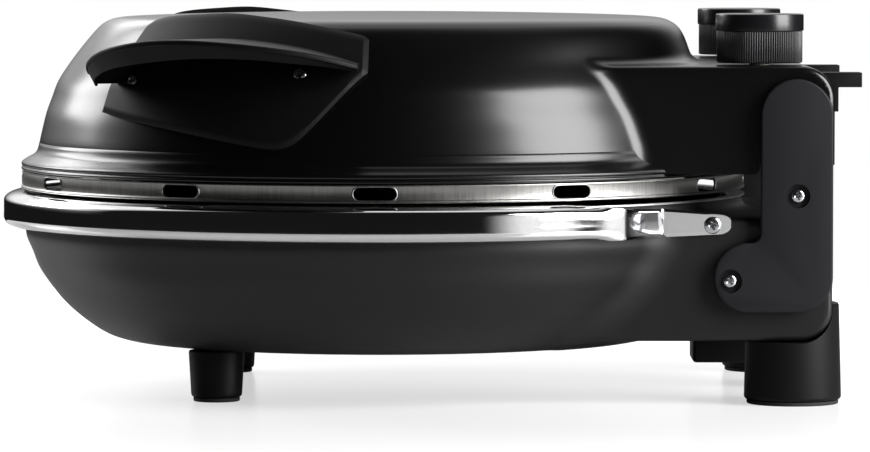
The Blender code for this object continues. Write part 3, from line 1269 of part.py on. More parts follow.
def make_base(looks, base):
    """Every piece of the base, the root body."""
    make_base_shell(looks["bowl"], base)
    make_clamp_ring(looks["chrome"], base)
    make_base_liner(looks["reflector"], base)
    make_stone(looks["stone"], base)
    make_element("lower_element", LOWER_LOOP_R, LOWER_LOOP_Z, LOWER_LEG_END_X, looks["element"], base)
    root = PAN_FLOOR_Z + SHEET + CLEARANCE
    for index, angle in enumerate(EYE_TAB_ANGLES, 1):
        name = "lower_element_tab_%d" % index
        make_eye_tab(name, angle, LOWER_LOOP_R, LOWER_LOOP_Z, root, looks["reflector"], base)
    make_terminal_box(looks["plastic"], base)
    make_terminal_block(looks["ceramic"], base)
    make_gland(looks["rubber"], base)
    make_cutout(looks["ceramic"], base)
    for side, sign in SIDES:
        make_front_foot(side, sign, looks["plastic"], base)
        make_rear_foot(side, sign, looks["plastic"], base)
        front = (FRONT_FOOT_X, sign * FRONT_FOOT_Y)
        make_pad("front_pad_" + side, front, FRONT_FOOT_R, looks["rubber"], base)
        rear = (REAR_FOOT_X, sign * REAR_FOOT_Y)
        make_pad("rear_pad_" + side, rear, REAR_FOOT_R, looks["rubber"], base)
        make_hinge_plate(side, sign, looks["hinge"], base)
        make_hinge_pin(side, sign, looks["screw"], base)
        seat = PLATE_INNER_Y + PLATE_THICKNESS - PLATE_RECESS_DEPTH
        for which, (x, z) in zip(PLATE_SCREW_NAMES, PLATE_SCREWS):
            name = "hinge_screw_%s_%s" % (which, side)
            screw(name, (x, sign * seat, z), (0, sign, 0), PLATE_SCREW_LENGTH, looks["screw"], base)
        seat = (RING_SCREW_X, sign * (PLATE_INNER_Y + TAB_THICKNESS), RING_SCREW_Z)
        screw("ring_screw_" + side, seat, (0, sign, 0), RING_SCREW_LENGTH, looks["screw"], base,
              RING_SCREW_HEAD_R)
        seat = (TERMINAL_EAR_X, sign * terminal_ear_y(), BLOCK_UNDER_Z - TERMINAL_WALL)
        screw("terminal_screw_" + side, seat, (0, 0, -1), COVER_SCREW_LENGTH, looks["screw"], base)


def make_lid(looks, lid):
    """Every piece that swings with the lid, apart from the knobs."""
    make_lid_shell(looks["satin"], lid)
    make_band(looks["brushed"], lid)
    make_lid_liner(looks["reflector"], lid)
    make_box_cover(looks["plastic"], lid)
    make_element("upper_element", UPPER_LOOP_R, UPPER_LOOP_Z, UPPER_LEG_END_X, looks["element"], lid)
    rise = LINER_CROWN_RISE * (1 - UPPER_LOOP_R / LINER_CEILING_R)
    root = LINER_CEILING_Z + rise - SHEET - 2 * CLEARANCE
    for index, angle in enumerate(EYE_TAB_ANGLES, 1):
        name = "upper_element_tab_%d" % index
        make_eye_tab(name, angle, UPPER_LOOP_R, UPPER_LOOP_Z, root, looks["reflector"], lid)
    for side, sign in SIDES:
        make_handle(side, sign, looks["plastic"], lid)
        make_hook(side, sign, looks["plastic"], lid)
        for which, (angle, z) in zip(HANDLE_SCREW_NAMES, HANDLE_SCREWS):
            place, out = handle_screw_seat(angle, z, sign)
            name = "handle_screw_%s_%s" % (which, side)
            screw(name, place, out, HANDLE_SCREW_LENGTH, looks["screw"], lid)
        seat = (BOX_SCREW_X, sign * BOX_SCREW_Y, BOX_FOOT_Z + CLEARANCE)
        screw("cover_screw_" + side, seat, (0, 0, -1), COVER_SCREW_LENGTH, looks["screw"], lid)
    make_control("thermostat", -1, looks["ceramic"], lid)
    make_control("timer", 1, looks["ceramic"], lid)
    make_lens("power_lens", -1, looks["red_lens"], lid)
    make_lens("heat_lens", 1, looks["green_lens"], lid)


def make_looks():
    """The finishes, as Principled materials."""
    return {
        "satin": finish("satin_black_paint", (0.02, 0.02, 0.021), 0.36),
        "bowl": finish("matte_grey_paint", (0.03, 0.03, 0.031), 0.5),
        "plastic": finish("black_plastic", (0.022, 0.022, 0.023), 0.48),
        "hinge": finish("charcoal_plastic", (0.028, 0.028, 0.031), 0.5),
        "gloss": finish("gloss_black_plastic", (0.012, 0.012, 0.013), 0.18),
        "chrome": finish("polished_chrome", (0.86, 0.86, 0.87), 0.08, 1.0),
        "brushed": finish("brushed_stainless", (0.62, 0.61, 0.6), 0.3, 1.0),
        "reflector": finish("aluminised_sheet", (0.72, 0.72, 0.72), 0.35, 1.0),
        "element": finish("dark_heater_tube", (0.1, 0.085, 0.075), 0.55, 1.0),
        "stone": finish("cordierite_stone", (0.55, 0.47, 0.37), 0.85),
        "ceramic": finish("ivory_phenolic", (0.6, 0.57, 0.5), 0.5),
        "rubber": finish("black_rubber", (0.02, 0.02, 0.02), 0.8),
        "screw": finish("bright_zinc", (0.7, 0.71, 0.73), 0.22, 1.0),
        "red_lens": finish("red_lens", (0.5, 0.02, 0.01), 0.15),
        "green_lens": finish("green_lens", (0.02, 0.35, 0.06), 0.15),
    }


def main():
    clear_scene()
    looks = make_looks()
    oven = bpy.data.objects.new("oven", None)
    bpy.context.scene.collection.objects.link(oven)
    oven["place"] = (0, 0, 0)
    oven.location.x = OVEN_X
    base = group("base", (0, 0, 0), oven)
    lid = group("lid_pivot", (HINGE_X, 0, HINGE_Z), oven)
    right = group("thermostat_axis", (KNOB_X, -KNOB_Y, BOX_TOP_Z), lid)
    left = group("timer_axis", (KNOB_X, KNOB_Y, BOX_TOP_Z), lid)
    make_base(looks, base)
    make_lid(looks, lid)
    make_shaft("thermostat_shaft", -1, looks["screw"], right)
    make_knob("thermostat_knob", -1, looks["gloss"], right)
    make_shaft("timer_shaft", 1, looks["screw"], left)
    make_knob("timer_knob", 1, looks["gloss"], left)


main()
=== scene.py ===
"""Looks of the electric pizza oven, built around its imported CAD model.

Shapes are written in millimetres from the oven's own vertical axis and are put into the frame,
in metres, when a piece is made. The front is towards -X, the controls are at +X.
"""
import json
import math

import bmesh
import bpy
import numpy as np
from mathutils import Matrix, Vector

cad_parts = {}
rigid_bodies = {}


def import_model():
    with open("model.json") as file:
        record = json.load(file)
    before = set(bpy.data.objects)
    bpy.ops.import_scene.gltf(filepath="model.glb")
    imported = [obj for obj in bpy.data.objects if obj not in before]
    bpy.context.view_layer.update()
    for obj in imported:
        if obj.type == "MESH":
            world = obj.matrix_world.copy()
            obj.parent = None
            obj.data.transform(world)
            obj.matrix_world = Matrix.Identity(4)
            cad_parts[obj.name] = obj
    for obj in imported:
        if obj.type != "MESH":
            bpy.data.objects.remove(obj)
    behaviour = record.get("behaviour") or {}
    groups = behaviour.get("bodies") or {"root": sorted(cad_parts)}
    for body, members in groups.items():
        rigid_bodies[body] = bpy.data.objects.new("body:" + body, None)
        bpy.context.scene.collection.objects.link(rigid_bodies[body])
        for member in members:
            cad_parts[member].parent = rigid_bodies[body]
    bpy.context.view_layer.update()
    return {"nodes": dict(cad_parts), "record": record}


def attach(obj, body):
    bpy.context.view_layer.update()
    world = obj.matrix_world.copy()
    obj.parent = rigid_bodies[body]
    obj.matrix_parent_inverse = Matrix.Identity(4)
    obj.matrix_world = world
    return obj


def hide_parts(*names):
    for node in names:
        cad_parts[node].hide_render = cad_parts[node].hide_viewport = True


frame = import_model()

MM = 0.001
DEG = math.pi / 180
# Where the oven's own axis stands in the frame, and the step from its millimetres to the frame's metres
OVEN_X = -20.65
INTO_FRAME = Matrix.Scale(MM, 4) @ Matrix.Translation((OVEN_X, 0, 0))
SIDES = (("left", 1), ("right", -1))

# Materials

FINE_SHARE = 0.5
TONE_RANGE = (0.35, 0.65)
ROUGH_RANGE = (0.3, 0.7)


def add_node(tree, kind, **values):
    """A new shader node with some of its inputs set."""
    made = tree.nodes.new("ShaderNode" + kind)
    for socket, value in values.items():
        made.inputs[socket.replace("_", " ")].default_value = value
    return made


def maths(tree, operation, *values):
    """The result of a Math node, whose values are other nodes' outputs or plain numbers."""
    made = tree.nodes.new("ShaderNodeMath")
    made.operation = operation
    for socket, value in zip(made.inputs, values):
        if isinstance(value, bpy.types.NodeSocket):
            tree.links.new(value, socket)
        else:
            socket.default_value = value
    return made.outputs["Value"]


def surface(name, slot, dark, light, rough, spread=0.05, metallic=0.0, grain=900.0, depth=0.02,
            stretch=(1, 1, 1), patch=16.0, **sockets):
    """A finish whose tone, roughness and fine relief come from noise."""
    made = bpy.data.materials.new(name)
    made.use_nodes = True
    made["slot"] = slot
    tree = made.node_tree
    shader = tree.nodes["Principled BSDF"]
    shader.inputs["Metallic"].default_value = metallic
    for socket, value in sockets.items():
        shader.inputs[socket.replace("_", " ")].default_value = value
    where = tree.nodes.new("ShaderNodeTexCoord")
    place = add_node(tree, "Mapping", Scale=stretch)
    tree.links.new(where.outputs["Object"], place.inputs["Vector"])
    fine = add_node(tree, "TexNoise", Scale=grain, Detail=3)
    tree.links.new(place.outputs["Vector"], fine.inputs["Vector"])
    broad = add_node(tree, "TexNoise", Scale=patch, Detail=5)
    tree.links.new(where.outputs["Object"], broad.inputs["Vector"])
    rest = maths(tree, "MULTIPLY", broad.outputs["Fac"], 1 - FINE_SHARE)
    both = maths(tree, "MULTIPLY_ADD", fine.outputs["Fac"], FINE_SHARE, rest)
    tone = tree.nodes.new("ShaderNodeValToRGB")
    for element, position, colour in zip(tone.color_ramp.elements, TONE_RANGE, (dark, light)):
        element.position = position
        element.color = (*colour, 1)
    tree.links.new(both, tone.inputs["Fac"])
    tree.links.new(tone.outputs["Color"], shader.inputs["Base Color"])
    level = add_node(tree, "MapRange", From_Min=ROUGH_RANGE[0], From_Max=ROUGH_RANGE[1],
                     To_Min=rough - spread, To_Max=rough + spread)
    tree.links.new(both, level.inputs["Value"])
    tree.links.new(level.outputs["Result"], shader.inputs["Roughness"])
    relief = add_node(tree, "Bump", Strength=1.0, Distance=depth * MM)
    tree.links.new(fine.outputs["Fac"], relief.inputs["Height"])
    tree.links.new(relief.outputs["Normal"], shader.inputs["Normal"])
    return made


SATIN = surface("satin_black_lid", "satin_black_shell", (0.0014, 0.0014, 0.0016), (0.0024, 0.0024, 0.0027),
                0.25, 0.02, grain=1500, depth=0.003)
BOWL = surface("matte_grey_base", "matte_grey_shell", (0.0075, 0.0075, 0.0078), (0.0105, 0.0105, 0.0108),
               0.44, 0.03, grain=1800, depth=0.01, Specular_IOR_Level=0.36)
PLASTIC = surface("matte_black_plastic", "black_plastic",
                  (0.0032, 0.0032, 0.0036), (0.0048, 0.0048, 0.0053),
                  0.52, 0.04, grain=2200, depth=0.012, Specular_IOR_Level=0.16)
HINGE = surface("charcoal_plate", "charcoal_plastic", (0.0095, 0.0095, 0.0115), (0.0125, 0.0125, 0.0145),
                0.54, 0.04, grain=2200, depth=0.014, Specular_IOR_Level=0.22)
GLOSS = surface("gloss_black_knob", "gloss_black_plastic", (0.006, 0.006, 0.007), (0.008, 0.008, 0.009),
                0.24, 0.02, grain=1200, depth=0.002)
GRIP = surface("satin_knob_grip", "gloss_black_plastic", (0.010, 0.010, 0.011), (0.014, 0.014, 0.015),
               0.32, 0.04, grain=1600, depth=0.006)
CHROME = surface("mirror_chrome", "polished_chrome", (0.80, 0.80, 0.81), (0.86, 0.86, 0.87),
                 0.07, 0.015, 1.0, grain=500, depth=0.0015)
BRUSHED = surface("brushed_band", "brushed_stainless", (0.22, 0.215, 0.21), (0.33, 0.325, 0.315),
                  0.33, 0.06, 1.0, grain=1100, depth=0.014, stretch=(1, 1, 0.05))
REFLECTOR = surface("aluminised_liner", "aluminised_sheet", (0.58, 0.575, 0.57), (0.70, 0.70, 0.695),
                    0.36, 0.07, 1.0, grain=260, depth=0.02)
TUBE = surface("oxidised_heater", "dark_heater_tube", (0.075, 0.062, 0.055), (0.13, 0.105, 0.085),
               0.5, 0.08, 1.0, grain=700, depth=0.02)
STONE = surface("fired_stone", "cordierite_stone", (0.42, 0.35, 0.26), (0.60, 0.51, 0.40),
                0.86, 0.06, grain=420, depth=0.12)
IVORY = surface("moulded_insulator", "ivory_phenolic", (0.50, 0.47, 0.40), (0.60, 0.57, 0.50),
                0.5, 0.05, grain=900, depth=0.01)
RUBBER = surface("black_rubber_pad", "black_rubber", (0.012, 0.012, 0.012), (0.020, 0.020, 0.020),
                 0.8, 0.06, grain=1500, depth=0.03)
ZINC = surface("bright_zinc_screw", "bright_zinc", (0.58, 0.59, 0.61), (0.74, 0.75, 0.77),
               0.2, 0.06, 1.0, grain=1100, depth=0.006)
RED = surface("red_lamp_lens", "red_lens", (0.35, 0.012, 0.008), (0.5, 0.02, 0.012), 0.12, 0.02,
              grain=700, depth=0.004)
GREEN = surface("green_lamp_lens", "green_lens", (0.012, 0.22, 0.04), (0.02, 0.33, 0.06), 0.12, 0.02,
                grain=700, depth=0.004)

CAD_LOOKS = {
    "satin_black_shell": SATIN, "matte_grey_shell": BOWL, "black_plastic": PLASTIC,
    "charcoal_plastic": HINGE, "gloss_black_plastic": GLOSS, "polished_chrome": CHROME,
    "brushed_stainless": BRUSHED, "aluminised_sheet": REFLECTOR, "dark_heater_tube": TUBE,
    "cordierite_stone": STONE, "ivory_phenolic": IVORY, "black_rubber": RUBBER, "bright_zinc": ZINC,
    "red_lens": RED, "green_lens": GREEN,
}
for entry in frame["record"]["subparts"]:
    cad = frame["nodes"][entry["node"]]
    cad.data.materials.clear()
    cad.data.materials.append(CAD_LOOKS[entry["material_slot"]])

# Making pieces


def piece(name, mesh, look, body, *nodes):
    """Put a mesh, already in metres in the frame, on a body, in place of some CAD nodes."""
    made = bpy.data.objects.new(name, mesh)
    bpy.context.scene.collection.objects.link(made)
    if look:
        mesh.materials.clear()
        mesh.materials.append(look)
    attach(made, body)
    if nodes:
        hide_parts(*nodes)
    return made


def mesh_of(bm, name, sharp=35.0, in_frame=True):
    """Turn a bmesh in millimetres into a smooth-shaded mesh, put in the frame in metres if asked."""
    bmesh.ops.recalc_face_normals(bm, faces=bm.faces)
    if in_frame:
        bmesh.ops.transform(bm, matrix=INTO_FRAME, verts=bm.verts)
    mesh = bpy.data.meshes.new(name)
    bm.to_mesh(mesh)
    bm.free()
    mesh.shade_smooth()
    mesh.set_sharp_from_angle(angle=sharp * DEG)
    return mesh


def shaped(name, bm, look, body, *nodes, sharp=35.0):
    """Put a shape in millimetres on a body, in place of some CAD nodes."""
    return piece(name, mesh_of(bm, name, sharp), look, body, *nodes)


def fine_shape(node, bm, look, body, sharp=35.0):
    """Put a shape in place of the one CAD node that it is named after."""
    return shaped(node + "_fine", bm, look, body, node, sharp=sharp)


def add_shape(target, extra):
    """Add one bmesh to another."""
    held = bpy.data.meshes.new("held")
    extra.to_mesh(held)
    extra.free()
    target.from_mesh(held)
    bpy.data.meshes.remove(held)


def unit(rows):
    """Rows of numbers, each scaled to a length of 1."""
    return rows / np.linalg.norm(rows, axis=1)[:, None]


def rise(value, low, high):
    """Go evenly from 0 to 1 between two values."""
    return min(max((value - low) / (high - low), 0), 1)


def smooth_rise(value, low, high):
    """Go from 0 to 1 between two values, level at both ends."""
    t = rise(value, low, high)
    return t * t * (3 - 2 * t)


def arc(centre_u, centre_v, radius, start, end, steps):
    """Points of an arc, in degrees, its ends included."""
    turns = [(start + (end - start) * step / steps) * DEG for step in range(steps + 1)]
    return [(centre_u + radius * math.cos(t), centre_v + radius * math.sin(t)) for t in turns]


def turned(section, steps):
    """Spin a closed section of (radius, height) points round the Z axis."""
    bm = bmesh.new()
    rings = []
    for step in range(steps):
        angle = 2 * math.pi * step / steps
        rings.append([bm.verts.new((r * math.cos(angle), r * math.sin(angle), z)) for r, z in section])
    closed = section[0][0] > 0 or section[-1][0] > 0
    for index in range(steps):
        one, two = rings[index], rings[(index + 1) % steps]
        for j in range(len(section) if closed else len(section) - 1):
            k = (j + 1) % len(section)
            bm.faces.new((one[j], two[j], two[k], one[k]))
    bmesh.ops.remove_doubles(bm, verts=bm.verts, dist=1e-5)
    return bm


def moved(bm, place, direction=(0, 0, 1)):
    """Point a shape's Z axis in a direction and put its origin at a place."""
    turn = Vector(direction).to_track_quat("Z", "Y").to_matrix().to_4x4()
    bmesh.ops.transform(bm, matrix=Matrix.Translation(Vector(place)) @ turn, verts=bm.verts)
    return bm


def extruded(outline, low, high, across="Y"):
    """Extrude an outline: one in (x, z) across Y, or one in (x, y) up Z."""
    bm = bmesh.new()
    if across == "Y":
        verts = [bm.verts.new((u, low, v)) for u, v in outline]
        run = Vector((0, high - low, 0))
    else:
        verts = [bm.verts.new((u, v, low)) for u, v in outline]
        run = Vector((0, 0, high - low))
    face = bm.faces.new(verts)
    far = bmesh.ops.extrude_face_region(bm, geom=[face])
    bmesh.ops.translate(bm, verts=[g for g in far["geom"] if isinstance(g, bmesh.types.BMVert)], vec=run)
    return bm


def side_slab(outline, sign, inner, outer):
    """Extrude an outline in (x, z) between two distances from the middle, on one side."""
    return extruded(outline, *sorted((sign * inner, sign * outer)))


def lofted(sections, closed=False):
    """Skin a run of equal closed sections, each a list of points in space."""
    bm = bmesh.new()
    loops = [[bm.verts.new(p) for p in section] for section in sections]
    pairs = list(zip(loops, loops[1:])) + ([(loops[-1], loops[0])] if closed else [])
    for one, two in pairs:
        for index in range(len(one)):
            bm.faces.new((one[index - 1], one[index], two[index], two[index - 1]))
    if not closed:
        bm.faces.new(loops[0][::-1])
        bm.faces.new(loops[-1])
    return bm


def evaluated(holder):
    """An object's mesh after its modifiers."""
    graph = bpy.context.evaluated_depsgraph_get()
    return bpy.data.meshes.new_from_object(holder.evaluated_get(graph))


def applied(mesh, cutters, bevel=None):
    """A mesh with its square edges rounded, and then other meshes cut from it."""
    scene = bpy.context.scene.collection.objects
    body = bpy.data.objects.new("blank", mesh)
    scene.link(body)
    if bevel:
        step = body.modifiers.new("bevel", "BEVEL")
        step.width = bevel * MM
        step.segments = 3
        step.limit_method = "ANGLE"
        step.angle_limit = 50 * DEG
    tools = []
    for cutter in cutters:
        tool = bpy.data.objects.new("tool", cutter)
        scene.link(tool)
        tools.append(tool)
        step = body.modifiers.new("cut", "BOOLEAN")
        step.operation = "DIFFERENCE"
        step.object = tool
    result = evaluated(body)
    for extra in [body, *tools]:
        bpy.data.objects.remove(extra, do_unlink=True)
    result.shade_smooth()
    result.set_sharp_from_angle(angle=35 * DEG)
    return result


def smooth_curve(points, per_run=8):
    """A Catmull-Rom curve through points of a plane."""
    pts = np.array(points, float)
    ends = np.vstack([2 * pts[0] - pts[1], pts, 2 * pts[-1] - pts[-2]])
    t = np.arange(per_run)[:, None] / per_run
    curve = []
    for a, b, c, d in zip(ends, ends[1:], ends[2:], ends[3:]):
        curve.append(0.5 * (2 * b + (c - a) * t + (2 * a - 5 * b + 4 * c - d) * t ** 2
                            + (3 * b - a - 3 * c + d) * t ** 3))
    return np.vstack(curve + [pts[-1:]])


# The two moulded shells: a turned body and a box, blended as one skin

CHUNK = 6000
PROBE = 0.01
SKIN_PASSES = 8
LEAST_SLOPE = 0.2
SWELL = 5.5
SWELL_X = 120
SWELL_Z = 152
SWELL_CLIMB = 18


def turned_field(points, profile):
    """Distance and outward direction from a turned profile, which runs from its rim to the axis."""
    radius = np.hypot(points[:, 0], points[:, 1])
    flat = np.column_stack([radius, points[:, 2]])
    run = profile[1:] - profile[:-1]
    length2 = (run ** 2).sum(1)
    side = 1 if profile[-1, 1] > profile[0, 1] else -1
    facing = side * np.column_stack([run[:, 1], -run[:, 0]]) / np.sqrt(length2)[:, None]
    at_point = np.vstack([facing[:1], facing[:-1] + facing[1:], facing[-1:]])
    at_point[-1] = (0, np.sign(at_point[-1][1]))
    at_point = unit(at_point)
    distance = np.empty(len(points))
    normal = np.empty((len(points), 2))
    for start in range(0, len(points), CHUNK):
        p = flat[start:start + CHUNK]
        away = p[:, None] - profile[None, :-1]
        t = np.clip((away * run).sum(2) / length2, 0, 1)
        gap = away - t[..., None] * run
        size2 = (gap ** 2).sum(2)
        best = size2.argmin(1)
        row = np.arange(len(p))
        mix = t[row, best][:, None]
        n = unit(at_point[best] * (1 - mix) + at_point[best + 1] * mix)
        distance[start:start + CHUNK] = np.sqrt(size2[row, best]) * np.sign((gap[row, best] * n).sum(1))
        normal[start:start + CHUNK] = n
    plan = points[:, :2] / np.maximum(radius, 1e-6)[:, None]
    return distance, np.column_stack([plan * normal[:, :1], normal[:, 1]])


def box_distance(points, low, high, top_r, foot_r, edge):
    """Distance from a box with rounded edges and wide rear corners."""
    centre = (np.array(low) + high) / 2
    half = (np.array(high) - low) / 2 - edge
    q = points - centre
    corner = np.where(q[:, 0] > 0, np.where(q[:, 2] > 0, top_r, foot_r), edge) - edge
    u = np.abs(q[:, 0]) - half[0] + corner
    w = np.abs(q[:, 2]) - half[2] + corner
    side = np.minimum(np.maximum(u, w), 0) + np.hypot(np.maximum(u, 0), np.maximum(w, 0)) - corner
    v = np.abs(q[:, 1]) - half[1]
    return np.minimum(np.maximum(side, v), 0) + np.hypot(np.maximum(side, 0), np.maximum(v, 0)) - edge


def shell_field(points, profile, box, blend):
    """Distance and outward direction from both solids, with a fillet where they meet."""
    d1, g1 = turned_field(points, profile)
    d2 = box_distance(points, *box)
    g2 = np.column_stack([
        (box_distance(points + axis * PROBE, *box) - box_distance(points - axis * PROBE, *box)) / (2 * PROBE)
        for axis in np.eye(3)
    ])
    h = np.clip(0.5 + 0.5 * (d2 - d1) / blend, 0, 1)
    gradient = g1 * h[:, None] + g2 * (1 - h)[:, None]
    return d2 * (1 - h) + d1 * h - blend * h * (1 - h), gradient


def rear_swell(x, z):
    """How far the lid's upper wall swells towards the controls."""
    x = np.clip(x / SWELL_X, 0, 1)
    z = np.clip((z - SWELL_Z) / SWELL_CLIMB, 0, 1)
    return SWELL * x * x * (3 - 2 * x) * z * z * (3 - 2 * z)


def rough_grid(profile, box, voxel):
    """A coarse even mesh round both solids."""
    low, high = box[0], box[1]
    seed = turned([tuple(p) for p in profile[::3]] + [(0, profile[-1][1]), (0, profile[0][1])], 96)
    outline = [(low[0], low[2]), (high[0], low[2]), (high[0], high[2]), (low[0], high[2])]
    add_shape(seed, extruded(outline, low[1], high[1]))
    bmesh.ops.recalc_face_normals(seed, faces=seed.faces)
    blank = bpy.data.meshes.new("blank")
    seed.to_mesh(blank)
    seed.free()
    holder = bpy.data.objects.new("blank", blank)
    bpy.context.scene.collection.objects.link(holder)
    remesh = holder.modifiers.new("voxels", "REMESH")
    remesh.mode = "VOXEL"
    remesh.voxel_size = voxel
    grid = evaluated(holder)
    bpy.data.objects.remove(holder, do_unlink=True)
    return grid


def drawn_to_skin(grid, profile, box, blend):
    """Move a mesh's points onto the blended skin."""
    points = np.empty(len(grid.vertices) * 3)
    grid.vertices.foreach_get("co", points)
    points = points.reshape(-1, 3)
    for _ in range(SKIN_PASSES):
        d, g = shell_field(points, profile, box, blend)
        points -= g * (d / np.maximum((g * g).sum(1), LEAST_SLOPE))[:, None]
    grid.vertices.foreach_set("co", points.ravel())


def cut_to_levels(grid, floor_z, top_z):
    """The mesh between two levels: its points, its faces and the open edges along the cuts."""
    bm = bmesh.new()
    bm.from_mesh(grid)
    for level, down in ((floor_z, True), (top_z, False)):
        if level is not None:
            bmesh.ops.bisect_plane(bm, geom=bm.verts[:] + bm.edges[:] + bm.faces[:], plane_co=(0, 0, level),
                                   plane_no=(0, 0, 1), clear_inner=down, clear_outer=not down)
    bm.verts.index_update()
    points = np.array([v.co for v in bm.verts])
    faces = [[v.index for v in f.verts] for f in bm.faces]
    loops = [edge.link_loops[0] for edge in bm.edges if len(edge.link_faces) == 1]
    open_edges = [(loop.vert.index, loop.link_loop_next.vert.index) for loop in loops]
    bm.free()
    return points, faces, open_edges


def swelled_normals(points, normals):
    """The skin's directions once the rear swell has moved its points."""
    x, z = points[:, 0], points[:, 2]
    here = rear_swell(x, z)
    along = 1 + (rear_swell(x + PROBE, z) - here) / PROBE
    normals[:, 2] -= normals[:, 0] * (rear_swell(x, z + PROBE) - here) / PROBE / along
    normals[:, 0] /= along
    return unit(normals)


def moulded(name, profile, box, blend, voxel, floor_z, top_z, wall):
    """The skin of both solids with an even wall, kept between two levels."""
    grid = rough_grid(profile, box, voxel)
    drawn_to_skin(grid, profile, box, blend)
    outer, faces, open_edges = cut_to_levels(grid, floor_z, top_z)
    normals = unit(shell_field(outer, profile, box, blend)[1])
    inner = outer - normals * wall
    for level in (floor_z, top_z):
        if level is not None:
            inner[np.abs(outer[:, 2] - level) < 1e-4, 2] = level
    normals = swelled_normals(outer, normals)
    for skin in (outer, inner):
        skin[:, 0] += rear_swell(skin[:, 0], skin[:, 2])
    count = len(outer)
    faces += [[v + count for v in reversed(face)] for face in faces]
    faces += [[b, a, a + count, b + count] for a, b in open_edges]
    points = (np.vstack([outer, inner]) + (OVEN_X, 0, 0)) * MM
    mesh = bpy.data.meshes.new(name)
    mesh.from_pydata(points.tolist(), [], faces)
    mesh.shade_smooth()
    mesh.normals_split_custom_set_from_vertices(np.vstack([normals, -normals]).tolist())
    return mesh


# Lid: the moulding with its rim and its crown

SHELL_WALL = 2.2
DOME_WALL = [
    (161.3, 96), (161.3, 104), (161.25, 110), (161, 113.6), (160.7, 116), (159.6, 120.9), (157.6, 128.9),
    (154.9, 136.3), (152.1, 143.6), (147.4, 151), (141.9, 158.4), (135.8, 165.8),
]
CROWN = [(132.2, 169.6), (129.7, 171.4), (127.3, 172.5), (124, 173.3), (118, 173.85), (104, 174.4)]
CROWN += [(84, 174.95), (62, 175.4), (40, 175.65), (20, 175.78), (0, 175.8)]
LID_PROFILE = smooth_curve(DOME_WALL + CROWN, 6)
LID_BOX = (np.array((84, -110.7, 96)), np.array((204.4, 110.7, 153)), 15, 3, 3)
BOX_FOOT_Z = 108.6
CROWN_CUT_Z = 170.6
CROWN_FROM_Z = 168
CROWN_SINK = 0.04

lid_mesh = moulded("lid_moulding", LID_PROFILE, LID_BOX, blend=4.5, voxel=2.0, floor_z=BOX_FOOT_Z,
                   top_z=CROWN_CUT_Z, wall=SHELL_WALL)
piece("lid_moulding", lid_mesh, SATIN, "lid", "lid_shell")

# The crown lies a hair under the moulding where they overlap
crown_run = [tuple(p) for p in LID_PROFILE if p[1] > CROWN_FROM_Z]
under = [(max(r - SHELL_WALL, 0), z - SHELL_WALL) for r, z in crown_run[::-1]]
crown = turned([(r - CROWN_SINK, z - CROWN_SINK) for r, z in crown_run] + under, 240)
for vert in crown.verts:
    vert.co.x += float(rear_swell(vert.co.x, vert.co.z))
shaped("lid_crown", crown, SATIN, "lid", sharp=50)

RIM = [(160, 102.5), (168.4, 102.5), (169, 102.65), (169.35, 103.05), (169.4, 103.5), (169.15, 103.95)]
RIM += [(168.8, 104.25), (168.75, 104.45), (169.1, 104.8), (169.35, 105.25), (169.3, 105.8)]
RIM += [(168.95, 106.35), (168.3, 106.85), (167.4, 107.45), (166.35, 108.1), (164.7, 108.95)]
RIM += [(163.3, 109.8), (162.35, 110.8), (161.75, 112), (161.35, 113.4), (161.05, 115), (160.5, 115.3)]
RIM += [(160, 115)]
shaped("lid_rim", turned(RIM, 264), SATIN, "lid", sharp=55)

# The box's side walls reach down past the lid's rim, in front of the hinge lugs
SKIRT_OUTLINE = [(124, 122), (124, 104.4), (167.5, 104.4), *arc(167.5, 107.4, 3, -90, 0, 8), (170.5, 122)]
SKIRT_SPAN = (108.3, 110.74)
for side, sign in SIDES:
    shaped("box_skirt_" + side, side_slab(SKIRT_OUTLINE, sign, *SKIRT_SPAN), SATIN, "lid")

# Base: the bowl with its rear block, and the lugs

BOWL_FLOOR_R = 123.6
BOWL_FLOOR_Z = 23.5
BOWL_REACH = 43.7
BOWL_CLIMB = 48.9
BOWL_TOP_Z = 90.4
BOWL_WALL = ((0.19, 0.08), (0.43, 0.23), (0.61, 0.38), (0.75, 0.54), (0.86, 0.69), (0.93, 0.85))
bowl_points = [(r, BOWL_FLOOR_Z) for r in (0, 60, 100, 116)] + [(BOWL_FLOOR_R, 24.3)]
bowl_points += [(BOWL_FLOOR_R + BOWL_REACH * r, BOWL_FLOOR_Z + BOWL_CLIMB * z) for r, z in BOWL_WALL]
bowl_points += [(167, 71.5), (167.3, 76), (167.3, 82), (167.3, 91), (167.3, 97)]
BOWL_PROFILE = smooth_curve(bowl_points, 5)[::-1]
BASE_BOX = (np.array((80, -110.7, 29)), np.array((203.5, 110.7, 84)), 4, 14.7, 2.5)
base_mesh = moulded("base_moulding", BOWL_PROFILE, BASE_BOX, blend=9, voxel=2.2, floor_z=None,
                    top_z=BOWL_TOP_Z, wall=SHELL_WALL)
piece("base_moulding", base_mesh, BOWL, "base", "base_shell")

LUG_OUTLINE = [(172.5, 78), (203.1, 78), *arc(198.1, 95, 5, 0, 90, 10), *arc(177.5, 95, 5, 90, 180, 10)]
LUG_SPAN = (98.3, 110.3)
for side, sign in SIDES:
    lug = applied(mesh_of(side_slab(LUG_OUTLINE, sign, *LUG_SPAN), "lug"), [], bevel=0.6)
    piece("base_lug_" + side, lug, BOWL, "base")

# Clamp ring: one swept strip whose hooked section flattens into the tabs

